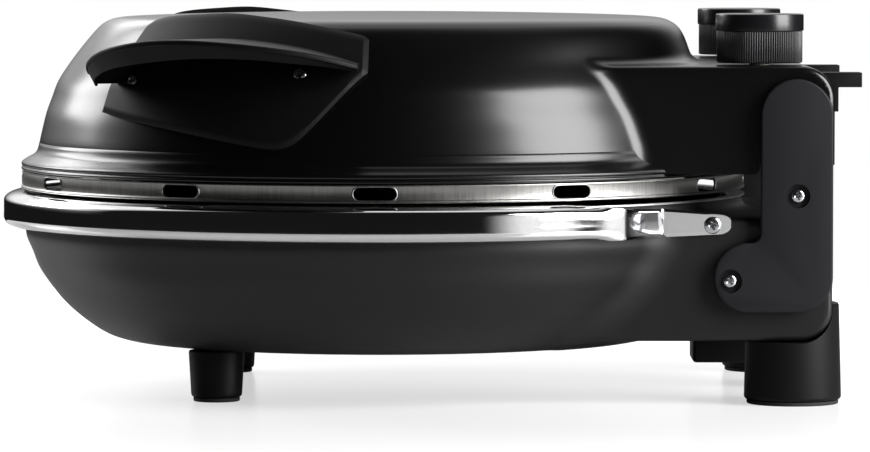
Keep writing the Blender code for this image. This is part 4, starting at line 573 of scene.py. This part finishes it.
RING_R = 177.7
RING_FOOT_Z = 76.2
RING_TOP_Z = 89
RING_STRIP = 1.2
TAB_THICK = 1.5
TAB_Y = 112.5
BEND_START = (109.4, -140.03)
BEND_RUN = (17.5, 27.53)
BEND_STEPS = (0.03, 0.1, 0.25, 0.4, 0.55, 0.7, 0.85, 0.95, 1)
TAB_STEPS = (128.5, 132, 136, 141, 146, 150, 153.5)
TAB_END_STEPS = (20, 40, 60, 75, 90)
TAB_END_REACH = 4
TAB_END_TRIM = 2.8
TAB_EDGE = 0.45
TAB_EDGE_SHARE = 0.06
TAB_LEAN = 0.075
TAB_LEAN_X = 125.9
TAB_LEAN_Z = 76
FLATTEN_X = (88, 109)
FALL_X = (84, 128)
TAPER_X = (127, 155)
TAPER_FOOT = 1.4
TAPER_TOP = 2.3


def hook_section():
    """The strip's hooked section: depth behind the ring's radius, height, and share along the strip."""
    foot = [(168, 76.2), (171, 76.3), (173, 76.6)]
    foot += [(173 + 4.7 * math.sin(t * DEG), 81 - 4.2 * math.cos(t * DEG)) for t in range(12, 91, 13)]
    head = [(168 + 9.6 * math.cos(t * DEG), 88.3 + 4.6 * math.sin(t * DEG)) for t in range(0, 91, 9)]
    hook = np.array([*foot, (177.6, 83.2), (177.6, 85.8), *head])
    run = unit(np.gradient(hook, axis=0))
    back = hook + np.column_stack([-run[:, 1], run[:, 0]]) * RING_STRIP
    whole = np.vstack([hook, back[::-1]])
    share = np.concatenate([[0], np.cumsum(np.linalg.norm(np.diff(hook, axis=0), axis=1))])
    return RING_R - whole[:, 0], whole[:, 1], share / share[-1]


def tab_section(share):
    """The tab's flat section in the hook's order: depth, and share of its height."""
    foot_edge = np.clip(1 - share / TAB_EDGE_SHARE, 0, 1)
    top_edge = np.clip(1 - (1 - share) / TAB_EDGE_SHARE, 0, 1)
    front = TAB_EDGE * (foot_edge ** 2 + top_edge ** 2)
    return np.concatenate([front, np.full(len(share), TAB_THICK)]), np.concatenate([share, share[::-1]])


def ring_path():
    """The right half of the ring from the front, as x, y and how far the tab's end is trimmed."""
    half_turn = math.pi - math.acos(BEND_START[0] / RING_R)
    path = [(-RING_R * math.cos(a), -RING_R * math.sin(a), 0.0) for a in np.linspace(0, half_turn, 150)]
    path += [(BEND_START[0] + BEND_RUN[0] * t, BEND_START[1] + BEND_RUN[1] * t, 0.0) for t in BEND_STEPS]
    path += [(x, -TAB_Y, 0.0) for x in TAB_STEPS]
    path += [(TAB_STEPS[-1] + TAB_END_REACH * math.sin(t * DEG), -TAB_Y,
              TAB_END_TRIM * (1 - math.cos(t * DEG))) for t in TAB_END_STEPS]
    return np.array(path)


def ring_sections():
    """The strip's section at each point of its path."""
    hook_depth, hook_z, share = hook_section()
    tab_depth, tab_share = tab_section(share)
    path = ring_path()
    sections = []
    for (x, y, trim), (hx, hy) in zip(path, unit(np.gradient(path[:, :2], axis=0))):
        flat = smooth_rise(x, *FLATTEN_X)
        fall = smooth_rise(x, *FALL_X)
        taper = rise(x, *TAPER_X)
        low = RING_FOOT_Z + TAPER_FOOT * taper + trim
        high = RING_TOP_Z - TAPER_TOP * taper - trim
        z = hook_z * (1 - fall) + (low + (high - low) * tab_share) * fall
        lean = TAB_LEAN * (z - TAB_LEAN_Z) * rise(x, TAB_LEAN_X, TAB_LEAN_X + 1)
        depth = hook_depth * (1 - flat) + tab_depth * flat - lean
        sections.append([(x - hy * d, y + hx * d, h) for d, h in zip(depth, z)])
    return sections


right_half = ring_sections()
left_half = [[(x, -y, z) for x, y, z in section] for section in right_half[:0:-1]]
fine_shape("clamp_ring", lofted(left_half + right_half), CHROME, "base", sharp=40)

# Slotted band: a thin cylinder with pressed slot rims and a rolled foot

BAND_R = 168.8
BAND = [(168, 94.2), (168.3, 94.05), (168.8, 94), (169.25, 94.15), (169.5, 94.5), (169.5, 94.9)]
BAND += [(169.25, 95.3), (168.9, 95.6), (168.8, 96), (168.8, 100.9), (168.95, 101.2), (169.1, 101.6)]
BAND += [(169, 102), (168.7, 102.2), (168, 102.2)]
SLOT_Z = 98.3
SLOT_CUT = (162, 176)
SLOT_FIRST = 27.3
SLOT_PITCH = 31
SLOT_ANGLES = [0, 180] + [s * (SLOT_FIRST + SLOT_PITCH * k) for k in range(5) for s in (1, -1)]
SLOT_RIM = ((0, -0.3), (0, 0.22), (0.22, 0.36), (0.5, 0.3), (0.75, 0.02), (0.75, -0.3))


def slot_outline(grow, steps=14):
    """A slot seen from outside, as (along, up) points."""
    near = arc(6.75, 0, 2.75 + grow, -90, 90, steps)
    return near + [(-u, -v) for u, v in near]


def slots_and_rims():
    """All the slots as one cutter, and all their pressed rims as one shape."""
    slots = bmesh.new()
    rims = bmesh.new()
    for angle in SLOT_ANGLES:
        turn = Matrix.Translation((0, 0, SLOT_Z)) @ Matrix.Rotation((angle + 90) * DEG, 4, "Z")
        cutter = extruded(slot_outline(0), *SLOT_CUT)
        bmesh.ops.transform(cutter, matrix=turn, verts=cutter.verts)
        bmesh.ops.recalc_face_normals(cutter, faces=cutter.faces)
        add_shape(slots, cutter)
        loops = []
        for grow, lift in SLOT_RIM:
            flat = [(u, math.sqrt((BAND_R + lift) ** 2 - u * u), v) for u, v in slot_outline(grow)]
            loops.append([turn @ Vector(p) for p in flat])
        add_shape(rims, lofted(loops, closed=True))
    rims.normal_update()
    return slots, rims


slots, rims = slots_and_rims()
band = applied(mesh_of(turned(BAND, 264), "band", 50), [mesh_of(slots, "slots")])
piece("slotted_band_fine", band, BRUSHED, "lid", "slotted_band")
shaped("band_slot_rims", rims, BRUSHED, "lid", sharp=60)

# Liners, stone and heating elements, seen when the lid is up

SHEET = 0.75
LINER_INSET = 0.55
LINER_FLANGE_R = 150
LINER = [(166.9, 102.2), (158.6, 102.2), (157.3, 102.5), (156.4, 103.4), (154.4, 112), (152.2, 121)]
LINER += [(151.4, 124.5), (149.6, 129.8), (146.2, 135.8), (140.6, 141.6), (134, 146.4), (126.5, 149.6)]
LINER += [(118.5, 151.3), (112, 152), (96, 152.3), (60, 152.6), (20, 152.9), (0, 153)]
liner_run = [tuple(p) for p in smooth_curve(LINER, 4)]
under = [(max(r - LINER_INSET, 0), z - SHEET if r < LINER_FLANGE_R else z) for r, z in liner_run[::-1]]
fine_shape("lid_liner", turned(liner_run + under, 200), REFLECTOR, "lid", sharp=50)

PAN_INSET = 0.5
PAN_FLANGE_R = 160
PAN = [(0, 48), (60, 48), (120, 48), (134, 48), (138.6, 48.6), (141.6, 50.6), (142.9, 53.5), (143, 57)]
PAN += [(143, 60), (143.1, 62.6), (144.2, 64), (147, 64.2), (154, 64.2), (156.4, 64.7), (157.7, 66.2)]
PAN += [(158.6, 70.4), (160, 79), (161.6, 88), (162.4, 90), (164, 90.7), (167, 90.75), (169.4, 90.8)]
pan_run = [tuple(p) for p in smooth_curve(PAN, 4)]
above = [(max(r - PAN_INSET, 0) if r < PAN_FLANGE_R else r, z + SHEET) for r, z in pan_run[::-1]]
fine_shape("base_liner", turned(pan_run + above, 200), REFLECTOR, "base", sharp=50)

STONE_SECTION = [(0, 65.3), (153.6, 65.3), (154.6, 65.7), (155, 66.6), (155, 75.5), (154.6, 76.6)]
STONE_SECTION += [(153.6, 77.25), (150, 77.3), (0, 77.3)]
fine_shape("pizza_stone", turned(STONE_SECTION, 200), STONE, "base", sharp=30)

TUBE_R = 3.3
TUBE_BEND_R = 8
TUBE_LEG_Y = 11


def heater(loop_r, z, leg_end):
    """A round tube along the element's path."""
    bend_y = TUBE_LEG_Y + TUBE_BEND_R
    bend_x = math.sqrt((loop_r + TUBE_BEND_R) ** 2 - bend_y ** 2)
    meet = math.atan2(bend_y, bend_x) / DEG
    corner = arc(bend_x, bend_y, TUBE_BEND_R, 270, 180 + meet, 10)
    loop = arc(0, 0, loop_r, meet, 360 - meet, 120)[1:-1]
    back = [(x, -y) for x, y in reversed(corner)]
    path = np.array([(leg_end, TUBE_LEG_Y), *corner, *loop, *back, (leg_end, -TUBE_LEG_Y)])
    turns = np.linspace(0, 2 * math.pi, 17)[:-1]
    sections = []
    for (x, y), (hx, hy) in zip(path, unit(np.gradient(path, axis=0))):
        sections.append([(x + hy * TUBE_R * math.cos(t), y - hx * TUBE_R * math.cos(t),
                          z + TUBE_R * math.sin(t)) for t in turns])
    return lofted(sections)


shaped("lower_heater", heater(loop_r=105, z=56, leg_end=166), TUBE, "base", "lower_element")
shaped("upper_heater", heater(loop_r=108, z=140, leg_end=168), TUBE, "lid", "upper_element")

# Screws with a cross recess

CROSS_LEVELS = ((0.5, 0.55), (2.6, 1.15))


def screw_mesh(head_r, length, name):
    """A pan head screw whose seat is at the origin."""
    k = head_r
    section = [(0, -length), (1.2, -length), (1.7, -length + 0.5), (1.7, 0), (k - 0.25, 0), (k, 0.25)]
    section += [(k, 0.7), (0.96 * k, 1.05), (0.85 * k, 1.38), (0.68 * k, 1.6), (0.4 * k, 1.75), (0, 1.8)]
    far, near = 0.66 * k, 0.17 * k
    plus = [(far, -near), (far, near), (near, near), (near, far), (-near, far), (-near, near)]
    plus += [(-u, -v) for u, v in plus]
    cross = lofted([[(x * grow, y * grow, z) for x, y in plus] for z, grow in CROSS_LEVELS])
    whole = mesh_of(turned(section, 40), name, in_frame=False)
    return applied(whole, [mesh_of(cross, "cross", in_frame=False)])


def fit_screw(node, blank, place, direction, body, turn=0.0):
    """Put a copy of a screw at its seat, in place of its node."""
    bm = bmesh.new()
    bm.from_mesh(blank)
    bmesh.ops.rotate(bm, cent=(0, 0, 0), matrix=Matrix.Rotation(turn * DEG, 3, "Z"), verts=bm.verts)
    fine_shape(node, moved(bm, place, direction), ZINC, body)


DOME_EDGE_Z = 168.5
DOME_EDGE_R = 133.5
DOME_LEAN = 0.95
DOME_TABLE = [(z, r) for r, z in DOME_WALL[1:]] + [(DOME_EDGE_Z, DOME_EDGE_R)]


def dome_r(z):
    """The lid's wall at a height, leaning in above its edge as the handles do."""
    wall = float(np.interp(min(z, DOME_EDGE_Z), *zip(*DOME_TABLE)))
    return wall - max(z - DOME_EDGE_Z, 0) * DOME_LEAN


PLATE_SCREW = screw_mesh(3.1, 7.5, "plate_screw")
TAB_SCREW = screw_mesh(3.9, 4.5, "tab_screw")
PLATE_SPAN = (111, 117)
PLATE_SEAT_Y = PLATE_SPAN[1] - 2.4
HANDLE_SEAT = 3
HINGE_SCREWS = (("upper", 187.5, 94.8, 12), ("lower", 157, 56.6, 31))
HANDLE_SCREWS = (("front", 43.5, 146), ("rear", 76.5, 150))
UPSIDE_DOWN = (0, 0, -1)
for side, sign in SIDES:
    outwards = (0, sign, 0)
    for which, x, z, turn in HINGE_SCREWS:
        fit_screw("hinge_screw_%s_%s" % (which, side), PLATE_SCREW, (x, sign * PLATE_SEAT_Y, z), outwards,
                  "base", turn)
    fit_screw("ring_screw_" + side, TAB_SCREW, (149.2, sign * TAB_Y, 81.6), outwards, "base", 20)
    fit_screw("terminal_screw_" + side, PLATE_SCREW, (156, sign * 21, 26.7), UPSIDE_DOWN, "base")
    fit_screw("cover_screw_" + side, PLATE_SCREW, (190, sign * 60, 108.9), UPSIDE_DOWN, "lid")
    for which, angle, z in HANDLE_SCREWS:
        out = Vector((-math.cos(angle * DEG), sign * math.sin(angle * DEG), 0))
        place = out * (dome_r(z) + HANDLE_SEAT) + Vector((0, 0, z))
        fit_screw("handle_screw_%s_%s" % (which, side), PLATE_SCREW, place, out, "lid", 25)

# Hinge plates

PLATE = [*arc(187, 131, 16.2, 180, 0, 40), *arc(187.2, 58.3, 16, 0, -90, 16),
         *arc(165.5, 58, 15.7, 270, 90, 36), *arc(166.3, 78.2, 4.5, 270, 360, 10)]
RECESS_R = 5.4
RECESS_LENGTH = 6
RECESS = [(0, 0), (RECESS_R, 0), (RECESS_R, RECESS_LENGTH), (0, RECESS_LENGTH)]
for side, sign in SIDES:
    recesses = [
        mesh_of(moved(turned(RECESS, 40), (x, sign * PLATE_SEAT_Y, z), (0, sign, 0)), "recess")
        for _, x, z, _ in HINGE_SCREWS
    ]
    plate = applied(mesh_of(side_slab(PLATE, sign, *PLATE_SPAN), "plate"), recesses, bevel=0.9)
    piece("hinge_plate_%s_fine" % side, plate, HINGE, "base", "hinge_plate_" + side)

# Handles, whose tables hold pairs of a share along the handle and a value there

HANDLE_Z = 117
HANDLE_SPAN = 59.8
HANDLE_START = 37.5
HANDLE_SWEEP = 50.5
HANDLE_FOOT = ((0, 0.25), (0.12, 0.205), (0.33, 0.136), (0.56, 0.051), (0.66, 0.014), (0.713, 0.004),
               (0.75, 0.022), (0.786, 0.072), (0.84, 0.2), (0.909, 0.375), (0.962, 0.5), (1, 0.57))
HANDLE_TOP = ((0, 0.9), (0.04, 0.95), (0.12, 0.975), (0.25, 0.99), (0.42, 1), (0.58, 0.975),
              (0.74, 0.935), (0.96, 0.85), (1, 0.81))
PLATE_INSET = ((0, 1.6), (0.017, 0), (0.981, 0), (1, 1.9))
PLATE_BACK = 0.7
PLATE_FRONT = 4.0
BRIM_R = 154
BRIM_SPAN = 29
BRIM_Z = 152
BRIM_CLIMB = 16
BRIM_START = 40
BRIM_SWEEP = 46.5
BRIM_THICK = 2.2
BRIM_SHUT = 0.13
BRIM_REACH = ((0, 0.62), (0.02, 0.72), (0.05, 0.8), (0.11, 0.9), (0.22, 0.985), (0.35, 1), (0.5, 0.985),
              (0.65, 0.92), (0.78, 0.78), (0.9, 0.53), (1, 0.25))
BRIM_RISE = ((0, 0), (0.02, 0.14), (0.05, 0.28), (0.12, 0.5), (0.2, 0.66), (0.325, 0.82), (0.44, 0.86),
             (0.55, 0.83), (0.684, 0.73), (0.813, 0.575), (0.9, 0.42), (1, 0.2))
LIP_DEPTH = ((0, 8), (0.15, 9), (0.325, 9.6), (0.44, 8.8), (0.55, 7.8), (0.68, 6.7), (0.8, 6.1),
             (0.92, 4.6), (1, 3.6))


def corner_round(corners, steps=5):
    """A closed outline whose corners, given as (u, v, radius), are rounded."""
    outline = []
    for index, (u, v, radius) in enumerate(corners):
        here = Vector((u, v))
        if radius <= 0:
            outline.append((u, v))
            continue
        before = Vector(corners[index - 1][:2]) - here
        after = Vector(corners[(index + 1) % len(corners)][:2]) - here
        before.normalize()
        after.normalize()
        half = before.angle(after) / 2
        centre = here + (before + after).normalized() * (radius / math.sin(half))
        first = here + before * (radius / math.tan(half)) - centre
        last = here + after * (radius / math.tan(half)) - centre
        turn = first.angle_signed(last)
        start = math.atan2(first.y, first.x)
        outline += [(centre.x + radius * math.cos(start - turn * k / steps),
                     centre.y + radius * math.sin(start - turn * k / steps)) for k in range(steps + 1)]
    return outline


def read_table(table, shares):
    """The smooth curve through a table, read at some shares."""
    return np.interp(shares, *smooth_curve(table, 6).T)


def eased_shares(count):
    """Shares from 0 to 1, closer together towards both ends."""
    return 0.5 - 0.5 * np.cos(np.linspace(0, math.pi, count))


def stood(section, angle, sign):
    """Put a section of (radius, height) points at an angle from the front."""
    turn = angle * DEG
    return [(-r * math.cos(turn), sign * r * math.sin(turn), z) for r, z in section]


def handle_plate(sign):
    """The curved plate of one handle, with its edges chamfered."""
    shares = np.unique(np.append(eased_shares(73), (PLATE_INSET[1][0], PLATE_INSET[2][0])))
    feet = HANDLE_Z + HANDLE_SPAN * read_table(HANDLE_FOOT, shares)
    tops = HANDLE_Z + HANDLE_SPAN * read_table(HANDLE_TOP, shares)
    insets = np.interp(shares, *zip(*PLATE_INSET))
    sections = []
    for share, low, high, inset in zip(shares, feet, tops, insets):
        heights = np.concatenate([[low, low + 0.5, low + 2.4], np.linspace(low + 4, high - 3, 26),
                                  [high - 1.4, high - 0.4, high]])
        chamfer = np.interp(heights, (low, low + 2.4, high - 1.4, high), (1.7, 0, 0, 1.2))
        back = [(dome_r(z) + PLATE_BACK, z) for z in heights[::4]]
        front = [(dome_r(z) + PLATE_FRONT - max(inset, c), z) for z, c in zip(heights, chamfer)]
        sections.append(stood(back + front[::-1], HANDLE_START + HANDLE_SWEEP * share, sign))
    return lofted(sections)


def handle_brim(sign):
    """The brim of one handle with its lip, closed from below at its front."""
    shares = eased_shares(81)
    reach = BRIM_R + BRIM_SPAN * read_table(BRIM_REACH, shares)
    tops = BRIM_Z + BRIM_CLIMB * read_table(BRIM_RISE, shares)
    sections = []
    for share, out, up, fall in zip(shares, reach, tops, read_table(LIP_DEPTH, shares)):
        lip = up - fall
        shut = np.clip(1 - share / BRIM_SHUT, 0, 1)
        low = up - BRIM_THICK - (fall - 3.2) * shut * shut * (3 - 2 * shut)
        lean = 0.4 * fall + 1.2
        section = corner_round([
            (dome_r(up) + 1.5, up, 0), (dome_r(up) + 5, up, 0), (out, up, 1.1), (out, up - 2.3, 0.6),
            (out - 1.1, up - 2.7, 0.3), (out - lean, lip, 0.7), (out - lean - 1.8, lip, 0.7),
            (out - lean - 1.4, low, 0), (dome_r(low) + 5.2, low, 0), (dome_r(low) + 1.5, low, 0),
        ])
        sections.append(stood(section, BRIM_START + BRIM_SWEEP * share, sign))
    return lofted(sections)


def handle(sign):
    """The plate and the brim of one handle, as one shape."""
    plate = handle_plate(sign)
    brim = handle_brim(sign)
    for part in (brim, plate):
        bmesh.ops.recalc_face_normals(part, faces=part.faces)
    add_shape(plate, brim)
    return plate


# Each of the two meshes, which mirror each other, lies on the other side from the node it replaces
for side, sign in SIDES:
    fine_shape("handle_" + side, handle(-sign), PLASTIC, "lid", sharp=50)

# Knobs: a smooth cap with a pointer groove, a knurled grip and a neck

CONTROL_X = 171.7
KNOB_Y = 85
CAP = [(0, 168.6), (19.7, 168.6), (19.95, 168.7), (20, 169), (20, 175.5), (19.9, 175.95), (19.6, 176.2)]
CAP += [(19, 176.3), (18.2, 176.3), (17.6, 176.15), (17, 176), (8, 175.9), (0, 175.9)]
GROOVE_X = (151.5, 164.7, 165)
GROOVE_HALF = 0.8
GROOVE_Z = (175.2, 178)
GRIP_R = 19.45
GRIP_POINTS = 432
GRIP_RIB = (0, 0.08, 0.75, 0.08)
GRIP_RINGS = ((154, 0.8), (154.3, 0.15), (154.6, 0), (168.2, 0), (168.45, 0.1), (168.6, 0.5))
NECK = [(7.5, 154.2), (15.5, 154.2), (16, 154.6), (16, 156.2), (7.5, 156.2)]


def pointer_groove(y):
    """The cutter for a knob's pointer."""
    start, end, tip = GROOVE_X
    near, far = y - GROOVE_HALF, y + GROOVE_HALF
    return extruded([(start, near), (end, near), (tip, y), (end, far), (start, far)], *GROOVE_Z, across="Z")


def knurled_grip():
    """A knob's grip round the Z axis."""
    rows = []
    for z, inset in GRIP_RINGS:
        row = []
        for k in range(GRIP_POINTS):
            r = GRIP_R - inset - GRIP_RIB[k % len(GRIP_RIB)]
            turn = 2 * math.pi * k / GRIP_POINTS
            row.append((r * math.cos(turn), r * math.sin(turn), z))
        rows.append(row)
    return lofted(rows)


for name, sign in (("thermostat", -1), ("timer", 1)):
    place = (CONTROL_X, sign * KNOB_Y, 0)
    dial = name + "_dial"
    knob = name + "_knob"
    cap = mesh_of(moved(turned(CAP, 120), place), "cap")
    cap = applied(cap, [mesh_of(pointer_groove(sign * KNOB_Y), "groove")])
    piece(knob + "_cap", cap, GLOSS, dial, knob)
    shaped(knob + "_grip", moved(knurled_grip(), place), GRIP, dial, sharp=80)
    shaped(knob + "_neck", moved(turned(NECK, 80), place), GRIP, dial)

# Pilot lamp lenses with a thin bezel

LENS_Y = 22
LENS_SECTION = [(0, 147), (3.9, 147), (3.9, 153.2), (4.1, 153.2), (4.1, 154), (3.9, 154.5), (3.2, 154.9)]
LENS_SECTION += [(1.8, 155.1), (0, 155.15)]
BEZEL = [(4.15, 153.1), (5.2, 153.1), (5.2, 153.6), (5, 153.95), (4.6, 154.1), (4.15, 154)]
for name, sign, look in (("power", -1, RED), ("heat", 1, GREEN)):
    place = (CONTROL_X, sign * LENS_Y, 0)
    fine_shape(name + "_lens", moved(turned(LENS_SECTION, 48), place), look, "lid")
    shaped(name + "_bezel", moved(turned(BEZEL, 48), place), PLASTIC, "lid")

# Cord hooks, feet, pads and gland

HOOK_Y = 70
HOOK_WIDTH = 14
HOOK_TOP_Z = 149.3
HOOK_CURVE_X = 189.4
HOOK_CURVE_Z = 138
HOOK_CURVE_R = 15.3
hook_turn = math.asin((HOOK_TOP_Z - HOOK_CURVE_Z) / HOOK_CURVE_R) / DEG
HOOK_OUTLINE = [(204.7, 131.5), (208.3, 131.5), (208.3, 142.6), (219, 142.6), (219, HOOK_TOP_Z)]
HOOK_OUTLINE += arc(HOOK_CURVE_X, HOOK_CURVE_Z, HOOK_CURVE_R, hook_turn, 0, 12)
for side, sign in SIDES:
    low = sign * HOOK_Y - HOOK_WIDTH / 2
    hook = applied(mesh_of(extruded(HOOK_OUTLINE, low, low + HOOK_WIDTH), "hook"), [], bevel=1.2)
    piece("cord_hook_%s_fine" % side, hook, PLASTIC, "lid", "cord_hook_" + side)

FRONT_FOOT_AT = (-75, 84)
REAR_FOOT_AT = (186.5, 95)
FRONT_FOOT = [(0, 2), (10.4, 2), (11.1, 2.25), (11.5, 2.9), (11.65, 3.8), (12.7, 22.2), (12.6, 22.9)]
FRONT_FOOT += [(12.1, 23.2), (0, 23.2)]
REAR_FOOT = [(0, 2), (20.4, 2), (21.4, 2.25), (21.9, 2.9), (22, 3.8), (20.95, 44.2), (20.9, 44.9)]
REAR_FOOT += [(20.5, 45.6), (19.7, 45.9), (0, 45.9)]
PADS = (("front", FRONT_FOOT_AT, 10.6), ("rear", REAR_FOOT_AT, 20.8))
REAR_BLOCK = [(60, 28.7), *arc(188.8, 43.4, 15, -90, 0, 24), (203.8, 90), (60, 90)]
BLOCK_HALF = 140
for side, sign in SIDES:
    x, y = FRONT_FOOT_AT
    fine_shape("front_foot_" + side, moved(turned(FRONT_FOOT, 72), (x, sign * y, 0)), PLASTIC, "base")
    x, y = REAR_FOOT_AT
    foot = mesh_of(moved(turned(REAR_FOOT, 96), (x, sign * y, 0)), "foot")
    foot = applied(foot, [mesh_of(extruded(REAR_BLOCK, -BLOCK_HALF, BLOCK_HALF), "block")])
    piece("rear_foot_%s_fine" % side, foot, PLASTIC, "base", "rear_foot_" + side)
    for which, (x, y), r in PADS:
        pad = turned([(0, 0), (r - 0.6, 0), (r - 0.15, 0.2), (r, 0.7), (r, 1.7), (0, 1.7)], 64)
        fine_shape("%s_pad_%s" % (which, side), moved(pad, (x, sign * y, 0)), RUBBER, "base")

GLAND_PLACE = (198, 0, 20)
GLAND = [(3.2, -6), (5.5, -6), (5.5, 0.3), (6.3, 0.3), (6.6, 0.6), (6.6, 1.6), (6.3, 1.9), (5, 1.9)]
GLAND += [(4.7, 2.2), (4.6, 4), (4.2, 4.2), (4.2, 4.9), (4.55, 5.1), (4.5, 6.4), (4.1, 6.6), (4.1, 7.3)]
GLAND += [(4.4, 7.5), (4.3, 8.7), (4, 9), (3.2, 9)]
fine_shape("cord_gland", moved(turned(GLAND, 48), GLAND_PLACE, (1, 0, 0)), RUBBER, "base")

# Camera and lamps

CAMERA_PLACE = (0.0038, -2.585, 0.2143)
CAMERA_AIM = (0.0038, 0, 0.0752)
LENS = 227.9
SENSOR = 36
LAMP_AIM = (0, 0, 0.1)


def aimed(name, data, place, aim):
    """A camera or a lamp at a place, turned towards another."""
    made = bpy.data.objects.new(name, data)
    made.location = place
    made.rotation_euler = (Vector(aim) - Vector(place)).to_track_quat("-Z", "Y").to_euler()
    bpy.context.scene.collection.objects.link(made)
    return made


def lamp(name, place, size, power):
    """A soft rectangular light on the oven."""
    light = bpy.data.lights.new(name, "AREA")
    light.shape = "RECTANGLE"
    light.size, light.size_y = size
    light.energy = power
    aimed(name, light, place, LAMP_AIM)


eye = bpy.data.cameras.new("eye")
eye.lens = LENS
eye.sensor_width = SENSOR
bpy.context.scene.camera = aimed("eye", eye, CAMERA_PLACE, CAMERA_AIM)
lamp("left_softbox", (-1.2, 0.75, 0.78), size=(0.7, 0.8), power=14)
lamp("right_softbox", (1.1, -0.63, 0.56), size=(0.75, 1.05), power=32)
lamp("rear_softbox", (-0.6, 1.4, 0.9), size=(0.7, 0.4), power=4)

# World: white to the camera, two bright walls in mirrors, and a soft even fill for the rest

RIGHT_WALL = (("X", 0.5, 0.7), ("Y", 0.12, -0.05))
RIGHT_WALL_TOP = ("Z", 0.8, 0.5)
RIGHT_WALL_GAP = (("Y", -0.4, -0.32), ("Y", -0.45, -0.56), ("Z", 0.0, 0.1), ("Z", -0.16, -0.26))
HIGH_WALL = (("Z", -0.02, 0.22), ("Y", 0.0, 0.35), ("X", 0.6, 0.2))
DARK_WALL_LEVEL = 0.008
FILL_LEVEL = 0.14


def studio_world():
    """The world's shader."""
    world = bpy.data.worlds.new("studio")
    world.use_nodes = True
    tree = world.node_tree
    where = tree.nodes.new("ShaderNodeTexCoord")
    axes = tree.nodes.new("ShaderNodeSeparateXYZ")
    rays = tree.nodes.new("ShaderNodeLightPath").outputs
    tree.links.new(where.outputs["Generated"], axes.inputs["Vector"])

    def ramp(edge):
        """Rise from 0 to 1 with a direction's axis, between two of its values."""
        axis, low, high = edge
        made = add_node(tree, "MapRange", From_Min=low, From_Max=high)
        made.interpolation_type = "SMOOTHSTEP"
        tree.links.new(axes.outputs[axis], made.inputs["Value"])
        return made.outputs["Result"]

    def joined(operation, first, *others):
        """Values joined one after another by an operation."""
        for other in others:
            first = maths(tree, operation, first, other)
        return first

    gap = joined("MAXIMUM", *map(ramp, RIGHT_WALL_GAP))
    right_wall = joined("MULTIPLY", *map(ramp, RIGHT_WALL), gap, ramp(RIGHT_WALL_TOP))
    high_wall = joined("MULTIPLY", *map(ramp, HIGH_WALL))
    mirror = joined("MAXIMUM", rays["Is Glossy Ray"], rays["Is Transmission Ray"])
    walls = add_node(tree, "MapRange", To_Min=DARK_WALL_LEVEL)
    tree.links.new(joined("MAXIMUM", right_wall, high_wall), walls.inputs["Value"])
    fill = add_node(tree, "MapRange", To_Min=FILL_LEVEL, To_Max=0.0)
    tree.links.new(mirror, fill.inputs["Value"])
    level = joined("ADD", joined("MULTIPLY", mirror, walls.outputs["Result"]), fill.outputs["Result"])
    back = tree.nodes["Background"]
    back.inputs["Color"].default_value = (1, 1, 1, 1)
    tree.links.new(joined("MAXIMUM", rays["Is Camera Ray"], level), back.inputs["Strength"])
    return world


bpy.context.scene.world = studio_world()

# Floor: a pale disc that keeps the shadow, glows less near the oven as a painted shade round it, and fades
# into the white

FLOOR_R = 0.75
FLOOR_TONE = 0.6
FLOOR_ROUGHNESS = 0.22
FLOOR_GLOW = 0.57
FLOOR_FADE = (0.2, 0.68)


def floor_look():
    """A pale finish that glows to the camera, less near the oven as a painted shade round it, up to white at
    the disc's edge.
    """
    look = bpy.data.materials.new("pale_floor")
    look.use_nodes = True
    tree = look.node_tree
    shader = tree.nodes["Principled BSDF"]
    shader.inputs["Base Color"].default_value = (FLOOR_TONE, FLOOR_TONE, FLOOR_TONE, 1)
    shader.inputs["Roughness"].default_value = FLOOR_ROUGHNESS
    shader.inputs["Emission Color"].default_value = (1, 1, 1, 1)
    rays = tree.nodes.new("ShaderNodeLightPath")
    place = tree.nodes.new("ShaderNodeTexCoord")
    far = tree.nodes.new("ShaderNodeVectorMath")
    far.operation = "LENGTH"
    tree.links.new(place.outputs["Object"], far.inputs[0])
    # The glow is lowest near the oven, a painted shade round it, and rises to white towards the disc's edge
    fade = add_node(tree, "MapRange", From_Min=FLOOR_FADE[0], From_Max=FLOOR_FADE[1], To_Min=FLOOR_GLOW)
    fade.interpolation_type = "SMOOTHSTEP"
    tree.links.new(far.outputs["Value"], fade.inputs["Value"])
    glow = maths(tree, "MULTIPLY", rays.outputs["Is Camera Ray"], fade.outputs["Result"])
    tree.links.new(glow, shader.inputs["Emission Strength"])
    return look


disc = bmesh.new()
bmesh.ops.create_circle(disc, cap_ends=True, segments=128, radius=FLOOR_R)
floor_mesh = bpy.data.meshes.new("floor")
disc.to_mesh(floor_mesh)
disc.free()
floor_mesh.materials.append(floor_look())
floor = bpy.data.objects.new("floor", floor_mesh)
bpy.context.scene.collection.objects.link(floor)

bpy.context.scene.view_settings.view_transform = "Standard"
